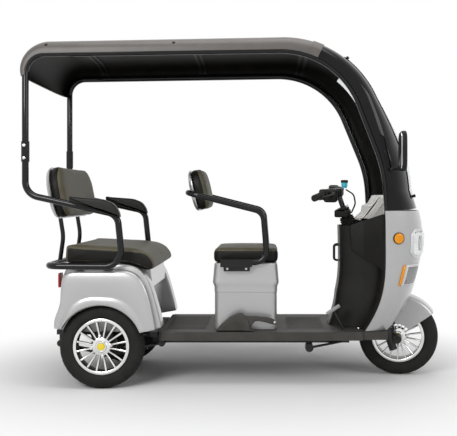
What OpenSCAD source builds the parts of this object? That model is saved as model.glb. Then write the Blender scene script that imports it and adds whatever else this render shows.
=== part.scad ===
// Electric passenger tricycle: driver seat, two-place rear bench and fixed roof.
// Millimetres. X runs forward, Y to the left, Z up from the ground.

/* [Overall] */
// Overhang of the roof behind the rear axle
rear_overhang = 385; // [375:5:395]
// Axle to axle
wheelbase = 1500; // [1480:5:1520]
// Between the middle planes of the rear tyres
rear_track = 620; // [610:5:630]
// Gap between seated pieces
seat_gap = 0.3; // [0.2:0.05:0.5]
// Radial running clearance of the shafts
run_gap = 0.05; // [0.02:0.01:0.1]

/* [Wheels] */
// Outer radius of the tyres
tyre_r = 207; // [203:1:209]
// Half width of the tyres
tyre_hw = 43; // [39:1:45]
// Outer radius of the rim flange
rim_r = 135; // [132:1:138]
// Half width of the rim
rim_hw = 36; // [34:1:38]
// Radius of the hub
hub_r = 47; // [44:1:52]
// Spokes of a rear rim
rear_spokes = 16; // [12:1:18]
// Spokes of the front rim
front_spokes = 18; // [12:1:20]
// Radius of the wheel axles
axle_r = 9; // [8:0.5:11]

/* [Roof] */
// Half width of the roof at its lip
roof_hw = 435; // [425:1:445]
// Height where the roof's rear lip ends
roof_rear_z = 1517; // [1500:1:1530]
// Rise of the crown over the lip
roof_crown = 88; // [80:1:96]
// Wall of the roof shells
roof_t = 5; // [4:0.5:6]
// Upward slope of the roof in degrees
roof_slope = 0.9; // [0.5:0.1:1.2]
// Bend radius at the roof's rear
rear_bend_r = 92; // [85:1:100]
// Bend radius above the windscreen
front_bend_r = 410; // [395:1:425]
// Half width at the windscreen's foot
pillar_hw = 385; // [380:1:388]
// Radius of the roof and armrest tubes
rail_r = 16; // [14:0.5:16.5]
// Thickness of the windscreen
screen_t = 3.5; // [3:0.5:5]

/* [Floor] */
// Height of the floor's top
floor_top = 270; // [266:1:274]
// Depth of the floor's edge
floor_edge = 42; // [38:1:46]
// Half width of the floor
floor_hw = 298; // [290:1:305]
// Half width of the gap for the front wheel
wheel_gap_hw = 205; // [200:1:215]

/* [Front body] */
// Height of the cowl's top edge
cowl_top = 869; // [860:1:880]
// Wall of the cowl and the leg shield
cowl_t = 4; // [3:0.5:5]
// Half width of the wheel arch in the cowl
arch_hw = 240; // [235:1:245]
// Height of the top of that arch
arch_top = 500; // [490:1:510]
// Thickness of the lamp lenses
lens_t = 12; // [8:1:14]

/* [Rear body] */
// Half width over the fender skins
fender_hw = 386; // [382:1:392]
// Radius of the fender's wheel arch
arch_r = 206; // [204:1:212]
// Height of the fender's top
fender_top = 588; // [580:1:592]
// Gap between the bench box and the rear tyres
wheel_room = 27; // [24:1:32]
// Height of the trim strip over the fender's top
strip_rise = 23; // [18:1:26]
// Wall of the fenders and the bench box
body_t = 4; // [3:0.5:5]

/* [Seats] */
// Half width of the bench cushion
bench_cushion_hw = 345; // [335:1:352]
// Height of the bench cushion's top
bench_top = 700; // [697:1:704]
// Half width of the bench backrest
bench_back_hw = 350; // [340:1:360]
// Half width of the driver's box
box_hw = 225; // [215:1:228]
// Height of the driver's box
box_top = 604; // [596:1:608]
// Half width of the driver's cushion
driver_cushion_hw = 216; // [205:1:222]
// Height of the driver's cushion top
driver_top = 686; // [678:1:694]
// Half width of the driver's backrest
driver_back_hw = 178; // [165:1:190]
// Radius of the driver's armrest tubes
hoop_r = 15; // [13:0.5:16]

/* [Steering] */
// Lean of the steering axis in degrees
rake = 19; // [18:0.5:20]
// Angle at which the steering stands, to the right
steer_rest = 12; // [0:1:14]
// Height of the handlebar clamp
bar_z = 962; // [950:1:975]
// Half width of the handlebar
bar_hw = 330; // [315:1:345]
// Radius of the handlebar tube
bar_r = 11; // [10:0.5:12]
// Radius of the grips
grip_r = 17; // [15:0.5:18]
// Radius of the steerer
steerer_r = 15; // [13:0.5:16]

/* [Hidden] */
$fn = 48;
fx = (wheelbase + rear_overhang - tyre_r + 2) / 2;
rx = fx - wheelbase;
axle_z = tyre_r;
roof_end_h = 38;
roof_x0 = rx - rear_overhang + roof_end_h;
rail_y = roof_hw - roof_t - rail_r - 2 * seat_gap;
pillar_x = fx - 110;
driver_x = fx - 799;
sleeve_z = 1152;
bench_hw = rear_track / 2 - tyre_hw - wheel_room;
hoop_hw = box_hw + 25;
lid_z = fender_top + strip_rise;
silver = [0.72, 0.73, 0.74];
black = [0.05, 0.05, 0.055];
charcoal = [0.16, 0.15, 0.15];
taupe = [0.33, 0.31, 0.29];
steel = [0.78, 0.79, 0.8];

// Small helpers
function unit(v) = v / norm(v);
function lerp(a, b, t) = a + (b - a) * t;
function spow(v, p) = sign(v) * pow(abs(v), p);
function clamp01(t) = min(max(t, 0), 1);
function smooth(t) = let (c = clamp01(t)) c * c * (3 - 2 * c);

// Value of a two-column table at a place between its rows
function look(table, col, v) =
    let (n = len(table) - 1)
    let (i = max([for (k = [0:n - 1]) if (k == 0 || v >= table[k][0]) k]))
    lerp(table[i][col], table[i + 1][col],
         clamp01((v - table[i][0]) / (table[i + 1][0] - table[i][0])));

// Straight round bar from a to b
module rod(a, b, r) {
    d = b - a;
    if (norm(d) > 0.02)
        translate(a)
            rotate([0, acos(d.z / norm(d)), atan2(d.y, d.x)])
                cylinder(h = norm(d), r = r);
}

// Bend of a tube at corner p between two directions
module elbow(p, d0, d1, r, bend) {
    phi = acos(d0 * d1);
    n = unit(d1 - d0 * (d0 * d1));
    start = p - d0 * bend * tan(phi / 2);
    c = start + n * bend;
    k = cross(-n, d0);
    multmatrix([[-n.x, d0.x, k.x, c.x],
                [-n.y, d0.y, k.y, c.y],
                [-n.z, d0.z, k.z, c.z]])
        rotate_extrude(angle = phi)
            translate([bend, 0])
                circle(r = r);
}

// Tube through the corners pts, bent at each inner corner, its straights lapped into its bends
lap = 1.5;
module tube(pts, r, bends) {
    n = len(pts);
    d = [for (i = [0:n - 2]) unit(pts[i + 1] - pts[i])];
    cut = [for (i = [0:n - 1])
        i == 0 || i == n - 1 ? 0 : bends[i - 1] * tan(acos(d[i - 1] * d[i]) / 2)];
    for (i = [0:n - 2]) {
        a = i == 0 ? 0 : cut[i] - lap;
        b = i == n - 2 ? 0 : cut[i + 1] - lap;
        rod(pts[i] + d[i] * a, pts[i + 1] - d[i] * b, r - 0.06);
    }
    for (i = [1:n - 2])
        elbow(pts[i], d[i - 1], d[i], r, bends[i - 1]);
}

// Surface normals of a grid of points
function normals(g) =
    let (m = len(g) - 1, n = len(g[0]) - 1)
    [for (i = [0:m])
        [for (j = [0:n])
            unit(cross(g[min(i + 1, m)][j] - g[max(i - 1, 0)][j],
                       g[i][min(j + 1, n)] - g[i][max(j - 1, 0)]))]];
function quad(a, b, c, d) = [[a, b, c], [a, c, d]];

// Sheet of thickness t on a grid of points, with the cells that keep() allows
module sheet(g, t, keep = function (i, j) true) {
    m = len(g);
    n = len(g[0]);
    q = normals(g);
    front = [for (i = [0:m - 1]) for (j = [0:n - 1]) g[i][j]];
    back = [for (i = [0:m - 1]) for (j = [0:n - 1]) g[i][j] + t * q[i][j]];
    b = m * n;
    on = function (i, j) i >= 0 && j >= 0 && i < m - 1 && j < n - 1 && keep(i, j);
    at = function (i, j) i * n + j;
    faces = [for (i = [0:m - 2]) for (j = [0:n - 2]) if (on(i, j))
        let (p = at(i, j), pi = at(i + 1, j), pij = at(i + 1, j + 1), pj = at(i, j + 1))
        each concat(
            quad(p, pi, pij, pj),
            [[b + p, b + pj, b + pij], [b + p, b + pij, b + pi]],
            on(i, j - 1) ? [] : quad(p, b + p, b + pi, pi),
            on(i, j + 1) ? [] : quad(pj, pij, b + pij, b + pj),
            on(i - 1, j) ? [] : quad(p, pj, b + pj, b + p),
            on(i + 1, j) ? [] : quad(pij, pi, b + pi, b + pij))];
    polyhedron(
        points = concat(front, back),
        faces = t > 0 ? faces : [for (f = faces) [f[2], f[1], f[0]]],
        convexity = 8);
}

// Mirror image across the middle plane as well
module both() {
    children();
    mirror([0, 1, 0]) children();
}

// Roof line: length, turn, then height, half width and squareness at the end
roof_rear_len = rear_bend_r * (90 - roof_slope) * PI / 180;
roof_front_turn = 69;
roof_foot_turn = 19;
roof_front_len = front_bend_r * roof_front_turn * PI / 180;
pillar_len = 240;
foot_len = 200;
foot_bend_r = foot_len / (roof_foot_turn * PI / 180);
function roof_table(top, foot) =
    let (down = pillar_len + foot_len + max(foot, 1))
    [[12, 0, 42, roof_hw, 3.5],
     [roof_rear_len, roof_slope - 90, roof_crown - 4, roof_hw, 3.5],
     [top, 0, roof_crown, roof_hw, 3.5],
     [roof_front_len, -roof_front_turn, 113, roof_hw, 3.5],
     [pillar_len, 0, 165, lerp(roof_hw, pillar_hw, pillar_len / down), 2.05],
     [foot_len, -roof_foot_turn, 171, lerp(roof_hw, pillar_hw, (down - foot) / down), 2.05],
     [foot, 0, 190, pillar_hw, 2.4]];
// Place x, z and heading after a distance d along one row of the table
function along(p, row, d) =
    let (a = p[2], t = row[0] > 0 ? row[1] * d / row[0] : 0)
    abs(t) < 0.0001
        ? [p[0] + d * cos(a), p[1] + d * sin(a), a, p[3] + d]
        : let (r = d / (t * PI / 180))
          [p[0] + r * (sin(a + t) - sin(a)), p[1] - r * (cos(a + t) - cos(a)), a + t, p[3] + d];
function places(table) =
    [for (i = 0, p = [roof_x0, roof_rear_z, 90, 0];
          i <= len(table);
          p = i < len(table) ? along(p, table[i], table[i][0]) : p, i = i + 1) p];
// The two straight runs close the line at the windscreen's foot
roof_short = places(roof_table(0, 0));
roof_rest = [pillar_x - roof_short[7][0], cowl_top + 2 - roof_short[7][1]];
roof_a = roof_slope;
roof_b = roof_slope - roof_front_turn - roof_foot_turn;
roof_det = cos(roof_a) * sin(roof_b) - sin(roof_a) * cos(roof_b);
roof_top_run = (roof_rest[0] * sin(roof_b) - roof_rest[1] * cos(roof_b)) / roof_det;
roof_foot_run = (cos(roof_a) * roof_rest[1] - sin(roof_a) * roof_rest[0]) / roof_det;
roof_rows = roof_table(roof_top_run, roof_foot_run);
roof_at = places(roof_rows);
roof_s = [for (p = roof_at) p[3]];
// Place, heading, height, half width and squareness at distance s
function roof_station(s) =
    let (i = max([for (k = [0:6]) if (k == 0 || s >= roof_s[k] - 0.001) k]))
    let (p = along(roof_at[i], roof_rows[i], s - roof_s[i]))
    let (t = (s - roof_s[i]) / roof_rows[i][0])
    let (before = i == 0 ? [0, 0, roof_end_h, roof_hw, 3.5] : roof_rows[i - 1])
    [p[0], p[1], p[2], for (c = [2:4]) lerp(before[c], roof_rows[i][c], t)];
function roof_point(st, th, off) =
    let (h = (st[3] + off) * pow(sin(th), 2 / st[5]))
    [st[0] - h * sin(st[2]), (st[4] + off) * spow(cos(th), 2 / st[5]), st[1] + h * cos(st[2])];
roof_th = [0, 5, 13, 22, 31, 40, 50, 62, 76, 90, 104, 118, 130, 140, 149, 158, 167, 175, 180];
function roof_grid(list, off, angles) =
    [for (s = list) let (st = roof_station(s)) [for (a = angles) roof_point(st, a, off)]];
function steps(a, b, n) = [for (i = [0:n]) lerp(a, b, i / n)];
function tail(v) = [for (i = [1:len(v) - 1]) v[i]];
roof_joint_s = roof_s[3] + 0.35 * roof_front_len;
// First and last station of the windscreen opening
screen_s0 = roof_s[3] + 0.62 * roof_front_len;
screen_s1 = roof_s[6] + 20;

module roof_rear() {
    color(charcoal) {
        sheet(roof_grid(concat(steps(0, roof_s[1], 1), tail(steps(roof_s[1], roof_s[2], 8)),
                               tail(steps(roof_s[2], roof_s[3], 2)),
                               tail(steps(roof_s[3], roof_joint_s, 5))), 0, roof_th),
              roof_t);
        sheet(roof_grid(steps(roof_joint_s - 30, roof_joint_s + 16, 4), seat_gap + 4.1, roof_th),
              4);
    }
}

module roof_front() {
    list = concat(steps(roof_joint_s + 1, screen_s0, 4), tail(steps(screen_s0, roof_s[4], 4)),
                  tail(steps(roof_s[4], roof_s[5], 3)), tail(steps(roof_s[5], roof_s[6], 5)),
                  [screen_s1, roof_s[7]]);
    last = len(list) - 1;
    color(black)
        sheet(roof_grid(list, 0, roof_th), roof_t,
              function (i, j) !(i >= 4 && i < last - 1 && j >= 6 && j <= 11));
}

module windscreen() {
    list = concat([screen_s0 - 22], steps(screen_s0, roof_s[4], 4),
                  tail(steps(roof_s[4], roof_s[5], 3)), tail(steps(roof_s[5], roof_s[6], 5)),
                  [screen_s1, screen_s1 + 22]);
    color([0.85, 0.9, 0.92, 0.35])
        sheet(roof_grid(list, seat_gap + screen_t,
                        [46, 50, 62, 76, 90, 104, 118, 130, 134]),
              screen_t);
}

// Corners of a roof tube along the lip
roof_k1 = [roof_x0, roof_at[2][1] - (roof_at[2][0] - roof_x0) * tan(roof_slope)];
roof_lean = roof_front_turn - roof_slope;
roof_k2 = let (e = roof_at[4], c = roof_at[3], l = front_bend_r * tan(roof_front_turn / 2))
    [c[0] + l * cos(roof_slope), c[1] + l * sin(roof_slope)];
roof_k3 = let (e = roof_at[5], l = foot_bend_r * tan(roof_foot_turn / 2))
    [e[0] + l * cos(roof_lean), e[1] - l * sin(roof_lean)];
rail_foot_y = pillar_hw - roof_t - rail_r - 4 * seat_gap;
rail_foot_z = 742;
rail_knee_y = lerp(rail_y, rail_foot_y, 0.95);
rail_foot_x = roof_k3.x + (roof_k3.y - rail_foot_z) / tan(-roof_b);

module roof_rails() {
    color(black)
        both()
            tube([[roof_x0, -rail_y, sleeve_z + seat_gap], [roof_k1.x, -rail_y, roof_k1.y],
                  [roof_k2.x, -rail_y, roof_k2.y], [roof_k3.x, -rail_knee_y, roof_k3.y],
                  [rail_foot_x, -rail_foot_y, rail_foot_z]],
                 rail_r, [rear_bend_r, front_bend_r, foot_bend_r]);
}

// Curved straps under the roof: place along the line
strap_s = [roof_s[2] + 0.1 * roof_top_run, roof_s[2] + 0.61 * roof_top_run, roof_joint_s - 55];
strap_th = [for (a = roof_th) if (a > 0 && a < 180) a];
strap_gap = 2;
module roof_straps() {
    color(black)
        for (s = strap_s)
            sheet(roof_grid([s - 22, s, s + 22], -roof_t - strap_gap, strap_th), 3);
}

// Corners of an armrest tube
arm_a = [roof_x0, 949];
arm_b = [rx + 93, 852];
arm_c = [rx + 119, 604];
arm_d = [rx - 246, 606];
arm_in = 345;
module armrest_frames() {
    color(black)
        both() {
            difference() {
                union() {
                    tube([[roof_x0, -rail_y, sleeve_z], [arm_a.x, -rail_y, arm_a.y],
                          [arm_b.x, -rail_y, arm_b.y], [arm_c.x, -rail_y, arm_c.y],
                          [arm_d.x, -rail_y, arm_d.y], [arm_d.x, -arm_in, arm_d.y]],
                         rail_r, [75, 62, 78, 58]);
                    translate([roof_x0, -rail_y, sleeve_z - 48])
                        cylinder(h = 98, r = rail_r + 3.5);
                    for (z = [-30, 30])
                        translate([roof_x0, -rail_y, sleeve_z + z])
                            rotate([90, 0, 0])
                                cylinder(h = rail_r + 7, r = 5.5);
                    for (x = [rx - 115, rx + 20])
                        translate([x, -rail_y, fender_top + seat_gap])
                            cube([40, rail_y - fender_hw + 33, 8]);
                }
                translate([roof_x0, -rail_y, sleeve_z])
                    cylinder(h = 60, r = rail_r + seat_gap);
            }
        }
}

// Outline of an armrest pad: distance ahead of the rear axle and height over the front corner
pad_line = [[-130, 87], [-110, 84], [17, 74], [43, 66], [75, 53], [98, 22], [108, -9], [85, -14],
            [70, -10], [30, 12], [-79, 37], [-125, 53], [-135, 78]];
module armrest_pads() {
    d = unit([arm_b.x - arm_a.x, 0, arm_b.y - arm_a.y]);
    p = [arm_b.x, -rail_y, arm_b.y];
    low = unit([arm_c.x - arm_b.x, 0, arm_c.y - arm_b.y]);
    color(black)
        both()
            difference() {
                translate([rx, -rail_y, arm_b.y])
                    rotate([90, 0, 0])
                        linear_extrude(2 * rail_r + 20, center = true)
                            polygon(pad_line);
                tube([p - d * 300, p, p + low * 100], rail_r + seat_gap, [62]);
            }
}

module rear_bar() {
    color(black) {
        rod([arm_d.x, -arm_in + seat_gap, arm_d.y], [arm_d.x, arm_in - seat_gap, arm_d.y], rail_r);
        both()
            tube([[arm_d.x, -175, arm_d.y], [rx - 228, -175, 735], [rx - 270, -175, 1000]],
                 11, [200]);
    }
}

// Bench backrest: lean and foot
back_lean = 10.6;
back_x = rx - 224;
back_z = 829;
back_h = 256;
back_t = 58;
module leaned(x, z, lean) {
    translate([x, 0, z])
        rotate([0, -lean, 0])
            children();
}
// Upright plate with rounded corners, standing on z = 0, y wide, x thick
module slab(hw, h, t, r) {
    rotate([90, 0, 90])
        linear_extrude(t)
            union() {
                translate([-hw, r])
                    square([2 * hw, h - 2 * r]);
                translate([-hw + r, 0])
                    square([2 * (hw - r), h]);
                for (x = [-hw + r, hw - r], y = [r, h - r])
                    translate([x, y])
                        circle(r = r);
            }
}
module bench_back_shell() {
    color(silver)
        difference() {
            leaned(back_x, back_z, back_lean)
                translate([-18, 0, 4])
                    slab(bench_back_hw - 4, back_h - 8, 22, 90);
            both()
                tube([[arm_d.x, -175, arm_d.y], [rx - 228, -175, 735], [rx - 270, -175, 1000]],
                     11 + seat_gap, [200]);
        }
}
module bench_back_pad() {
    color(taupe)
        leaned(back_x, back_z, back_lean)
            translate([4 + seat_gap, 0, 0])
                slab(bench_back_hw, back_h, back_t, 90);
}

// Bench box between the rear wheels
bench_z = 262 + seat_gap;
bench_front = rx + 240;
bench_rear = rx - 186;
// Outline of the box in x and z, drawn in by a wall
function bench_line(t) =
    [[bench_rear + t, bench_z - t], [bench_front - 24 - t, bench_z - t], [bench_front - 24 - t, 466 + t / 2],
     [bench_front - 4 - t, 486 + t / 2], [bench_front - 16 - t, lid_z - 37 - t],
     [bench_front - 45 - t / 2, lid_z - 25 - t], [bench_front - 88, lid_z - 9 - t],
     [bench_front - 128, lid_z - t], [bench_rear + t, lid_z - t]];
module bench_box() {
    color(silver)
        difference() {
            rotate([90, 0, 0])
                linear_extrude(2 * bench_hw, center = true)
                    polygon(bench_line(0));
            rotate([90, 0, 0])
                linear_extrude(2 * (bench_hw - body_t), center = true)
                    polygon(bench_line(body_t));
            translate([rx - 130, -bench_hw + 50, lid_z - 40])
                cube([280, 2 * bench_hw - 100, 60]);
        }
}

// Rear fender: rows across the skin, from the arch lip to the inner edge
// Columns: share of the way from arch to outline, rise past it, distance in from the side
fender_cols = [[-0.02, 0, 22], [0, 0, 3], [0.09, 0, -2], [0.2, 0, 2], [0.26, 0, 0], [0.5, 0, -1],
               [0.75, 0, 1], [0.92, 0, 7], [0.985, 0, 16], [1, 0, 28], [1, -7, 36], [1, -7, 42],
               [1, strip_rise - 6, 44], [1, strip_rise, 54], [1, strip_rise, 95],
               [1, strip_rise, fender_hw - bench_hw - seat_gap]];
function fender_outline(t) =
    let (e = t < 90 ? 2 / 5 : 2 / 9)
    let (s = fender_top - axle_z, z = s * pow(sin(t), e))
    let (front = 275 - 0.18 * (z - 75), rear = 193 + 30 * smooth((230 - z) / 110))
    [(t < 90 ? front : rear) * spow(cos(t), e), z];
function fender_point(u, k) =
    let (t = lerp(178, 1.4, u), a = lerp(153, 21, u))
    let (o = fender_outline(t), i = arch_r * [cos(a), sin(a)], f = fender_cols[k])
    let (p = i + (o - i) * f[0] + unit(o - i) * f[1] * smooth((o.x + 195) / 60))
    [rx + p.x, -fender_hw + f[2], axle_z + p.y];
fender_u = [for (i = [0:26]) i / 26];
function fender_grid() =
    [for (u = fender_u) [for (k = [0:len(fender_cols) - 1]) fender_point(u, k)]];
module fenders() {
    color(silver)
        both()
            sheet(fender_grid(), -body_t);
}

module tail_lamps() {
    color([0.6, 0.05, 0.04])
        both()
            translate([rx - 207 - seat_gap, -354, 496])
                cube([12, 52, 70]);
}

// Bench cushion with a rolled nose: distance ahead of the rear axle and height over the lid
seat_line = [[-182, 1.3], [115, 1.3], [155, -7], [198, -23], [232, -34], [252, -34], [261, -22], [262, -10],
             [257, 6], [247, 24], [230, 43], [205, 58], [180, 67], [113, 77], [-60, 85]];
module bench_cushion() {
    rear_x = rx - 182;
    color(taupe)
        rotate([90, 0, 0])
            linear_extrude(2 * bench_cushion_hw, center = true)
                polygon(concat([for (p = seat_line) [rx + p.x, lid_z + p.y]],
                               [[rear_x + 14, bench_top], [rear_x + 4, bench_top - 4],
                                [rear_x, bench_top - 14]]));
}

// Driver's box with a raised waist
box_x0 = driver_x - 160;
box_x1 = driver_x + 158;
module rounded(x0, x1, hw, r) {
    translate([x0 + r, -hw])
        square([x1 - x0 - 2 * r, 2 * hw]);
    translate([x0, -hw + r])
        square([x1 - x0, 2 * hw - 2 * r]);
    for (x = [x0 + r, x1 - r], y = [-hw + r, hw - r])
        translate([x, y])
            circle(r = r);
}
module driver_box() {
    color(silver)
        difference() {
            union() {
                translate([0, 0, floor_top + seat_gap])
                    linear_extrude(box_top - floor_top - seat_gap)
                        rounded(box_x0, box_x1, box_hw, 28);
                translate([0, 0, 496])
                    linear_extrude(40)
                        rounded(box_x0 - 8, box_x1 + 8, box_hw + 6, 34);
            }
            translate([0, 0, floor_top - 1])
                linear_extrude(box_top - floor_top - 4)
                    rounded(box_x0 + body_t, box_x1 - body_t, box_hw - body_t, 24);
            translate([0, 0, box_top - 10])
                linear_extrude(20)
                    rounded(box_x0 + 40, box_x1 - 40, box_hw - 40, 20);
        }
}
module battery() {
    color(black)
        translate([driver_x - 125, -170, floor_top + seat_gap])
            cube([250, 340, 210]);
}
module driver_cushion() {
    color(taupe) {
        translate([0, 0, box_top + seat_gap])
            linear_extrude(12)
                rounded(box_x0 - 4, box_x1 + 4, driver_cushion_hw - 4, 30);
        translate([0, 0, box_top + 12])
            linear_extrude(driver_top - box_top - 12)
                rounded(box_x0 - 10, box_x1 + 9, driver_cushion_hw, 40);
    }
}

// Driver's armrest hoop
hoop_g = [driver_x - 292, 958];
hoop_f = [driver_x + 87, 862];
hoop_e = [driver_x + 108, 610];
hoop_d = [driver_x - 90, 610];
module driver_hoop() {
    color(black)
        difference() {
            union() {
                both() {
                    tube([[hoop_d.x, -hoop_hw, hoop_d.y], [hoop_e.x, -hoop_hw, hoop_e.y],
                          [hoop_f.x, -hoop_hw, hoop_f.y], [hoop_g.x, -hoop_hw, hoop_g.y],
                          [hoop_g.x, 0, hoop_g.y]],
                         hoop_r, [60, 56, 60]);
                    translate([driver_x - 126, -hoop_hw - 19, 588])
                        cube([158, 38 - 12, 38]);
                    translate([driver_x - 110, -hoop_hw - 4, 566])
                        cube([130, hoop_hw + 4 - box_hw + 2, 24]);
                }
            }
            translate([driver_x - 200, -box_hw - seat_gap, 400])
                cube([400, 2 * (box_hw + seat_gap), 205]);
        }
}
seat_back_lean = 12.5;
seat_back_x = driver_x - 250;
seat_back_z = 864;
module driver_back_shell() {
    color(silver)
        difference() {
            leaned(seat_back_x, seat_back_z, seat_back_lean)
                translate([-14, 0, 4])
                    slab(driver_back_hw - 4, 206, 20, 66);
            rod([hoop_g.x, -hoop_hw, hoop_g.y], [hoop_g.x, hoop_hw, hoop_g.y], hoop_r + seat_gap);
        }
}
module driver_back_pad() {
    color(taupe)
        leaned(seat_back_x, seat_back_z, seat_back_lean)
            translate([6 + seat_gap, 0, 0])
                slab(driver_back_hw, 214, 66, 70);
}

// Floor with a front gap for the wheel
floor_x0 = rx + 270;
floor_t = 8;
floor_x1 = fx - 215;
module floor_pan() {
    color(charcoal)
        difference() {
            translate([0, 0, floor_top - floor_edge])
                linear_extrude(floor_edge)
                    union() {
                        rounded(floor_x0, floor_x1, floor_hw, 20);
                        translate([floor_x1 - 40, -floor_hw + 20])
                            square([160, 2 * floor_hw - 40]);
                    }
            translate([floor_x0 + 8, -floor_hw + 8, floor_top - floor_edge - 1])
                cube([floor_x1 - floor_x0 - 30, 2 * floor_hw - 16, floor_edge - floor_t + 1]);
            translate([fx - 335, -26, 0])
                cube([120, 52, 400]);
            translate([fx - 232, -wheel_gap_hw, 0])
                cube([400, 2 * wheel_gap_hw, 400]);
        }
}

// Cowl section by height: rear edge, half width, front at the middle
cowl_rows = [[floor_top + 1, fx - 207, 276, fx - 10],
             [340, fx - 172, 306, fx + 24],
             [420, fx - 141, 336, fx + 50],
             [500, fx - 125, 356, fx + 75],
             [580, fx - 120, 369, fx + 94],
             [650, fx - 118, 377, fx + 107],
             [725, fx - 120, 384, fx + 115],
             [800, fx - 122, 390, fx + 109],
             [869, fx - 124, 393, fx + 93]];
cowl_square = 2.3;
function cowl_row(z) =
    let (v = z * 868 / (cowl_top - 1))
    [look(cowl_rows, 1, v), look(cowl_rows, 2, v), look(cowl_rows, 3, v)];
function cowl_edge(z) =
    z >= arch_top ? 1 : max(1, arch_hw * pow(1 - pow((z - floor_top) / (arch_top - floor_top), 3), 1 / 3));
// Point at height z and share v from the rear edge to the middle
function cowl_point(z, v) =
    let (r = cowl_row(z))
    let (low = pow(min(cowl_edge(z) / r[1], 1), cowl_square / 2))
    let (a = lerp(0, acos(low), v))
    [r[0] + (r[2] - r[0]) * pow(sin(a), 2 / cowl_square), -r[1] * pow(cos(a), 2 / cowl_square), z];
cowl_z = concat(steps(floor_top + 2.5, arch_top, 8), tail(steps(arch_top, cowl_top, 8)));
cowl_n = 9;
function cowl_grid() =
    [for (z = cowl_z)
        let (half = [for (k = [0:cowl_n]) cowl_point(z, pow(k / cowl_n, 1.1))])
        concat(half, [for (k = [cowl_n:-1:0]) [half[k].x, -half[k].y, z]])];
module front_cowl() {
    color(silver)
        sheet(cowl_grid(), cowl_t, function (i, j) !(i < 8 && j == cowl_n));
}

// Leg shield: rear face of the front body, with a steering tunnel and two pockets
function shield_x(y, z) =
    let (r = cowl_row(z), w = abs(y))
    let (tunnel = lerp(160, 190, clamp01((z - floor_top) / 170)) * (1 - smooth((w - 50) / 150)))
    let (low = 558 + 0.3 * (350 - w))
    let (pocket = look(pocket_rows, 1, r[1] - 4 - w) * smooth((z - low) / 36))
    r[0] - max(tunnel, pocket) - 4 * seat_gap;
// Pocket depth by the distance in from the cowl's side
pocket_rows = [[0, 0], [14, 10], [150, 84], [262, 136], [400, 150]];
// The top edge rises towards both sides
shield_mid = 788;
shield_bend = 670;
function shield_rise(z, w) =
    let (top = shield_mid + 0.24 * max(w - 110, 0))
    z <= shield_bend ? z : lerp(shield_bend, top, (z - shield_bend) / (shield_mid - shield_bend));
shield_z = concat(steps(floor_top + 1.5, 556, 6), tail(steps(556, shield_bend, 9)),
                  tail(steps(shield_bend, shield_mid, 3)));
shield_v = [-1, -0.96, -0.91, -0.85, -0.75, -0.64, -0.53, -0.42, -0.32, -0.22, -0.1, 0,
            0.1, 0.22, 0.32, 0.42, 0.53, 0.64, 0.75, 0.85, 0.91, 0.96, 1];
function shield_grid() =
    [for (z = shield_z) [for (v = shield_v)
        let (y = v * (cowl_row(z)[1] - 1), h = shield_rise(z, abs(y))) [shield_x(y, h), y, h]]];
module leg_shield() {
    color(black)
        sheet(shield_grid(), cowl_t);
}

// Dash tray inside the leg shield's rim
tray_z = 764;
tray_t = 6;
module dash() {
    color(black)
        translate([0, 0, tray_z])
            linear_extrude(tray_t)
                difference() {
                    polygon(concat(
                        [for (v = shield_v) let (y = v * (cowl_row(tray_z)[1] - 9))
                            [shield_x(y, tray_z) + 8, y]],
                        [for (k = [0:2 * cowl_n + 1])
                            let (g = k <= cowl_n ? k : 2 * cowl_n + 1 - k)
                            let (p = cowl_point(tray_z, pow(g / cowl_n, 1.1)))
                            [lerp(pillar_x, p.x, 0.94), (k <= cowl_n ? 1 : -1) * -p.y * 0.96]]));
                    both()
                        translate([rail_foot_x - rail_r - 6, -500])
                            square([2 * rail_r + 12, 500 - rail_foot_y + rail_r + 6]);
                    translate([axis_x(tray_z), 0])
                        circle(r = steerer_r + 12);
                }
}
module instrument_hood() {
    color(silver)
        translate([fx - 180, 0, tray_z + tray_t + seat_gap])
            rotate([90, 0, 0])
                linear_extrude(250, center = true)
                    polygon([[0, 0], [118, 0], [118, 176], [79, 176], [8, 112], [-2, 82], [-38, 56], [-38, 44],
                             [0, 44]]);
}

// Lens standing on the cowl: rows of height, first and last share round the section
lens_gap = 3;
module lens(rows, n) {
    g = [for (r = rows) [for (v = steps(r[1], r[2], n)) cowl_point(r[0], v)]];
    q = normals(g);
    sheet([for (i = [0:len(g) - 1]) [for (j = [0:n]) g[i][j] - (lens_gap + lens_t) * q[i][j]]], lens_t);
}
module headlamp() {
    color([0.85, 0.88, 0.9])
        both() {
            lens([[636, 0.42, 0.62], [664, 0.33, 0.71], [752, 0.33, 0.72], [780, 0.42, 0.64]], 5);
            lens([[501, 0.24, 0.55], [525, 0.245, 0.57], [585, 0.27, 0.6], [606, 0.28, 0.6]], 5);
        }
}

module front_lamps() {
    color([0.9, 0.42, 0.08])
        both() {
            lens([[503, 0.2, 0.23], [555, 0.215, 0.248], [604, 0.235, 0.268]], 1);
            p = cowl_point(738, 0.145);
            n = unit(cross(cowl_point(748, 0.145) - cowl_point(728, 0.145),
                           cowl_point(738, 0.165) - cowl_point(738, 0.125)));
            rod(p - n * 1.2, p - n * 10, 26);
        }
}

// Steering axis
steer_p = [fx - 269, 0, 819];
function axis_x(z) = steer_p.x + (steer_p.z - z) * tan(rake);
steer_d = [-sin(rake), 0, cos(rake)];
function on_axis(z) = [axis_x(z), 0, z];
module turned() {
    translate(steer_p)
        rotate([0, -rake, 0])
            rotate([0, 0, -steer_rest])
                rotate([0, rake, 0])
                    translate(-steer_p)
                        children();
}

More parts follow.
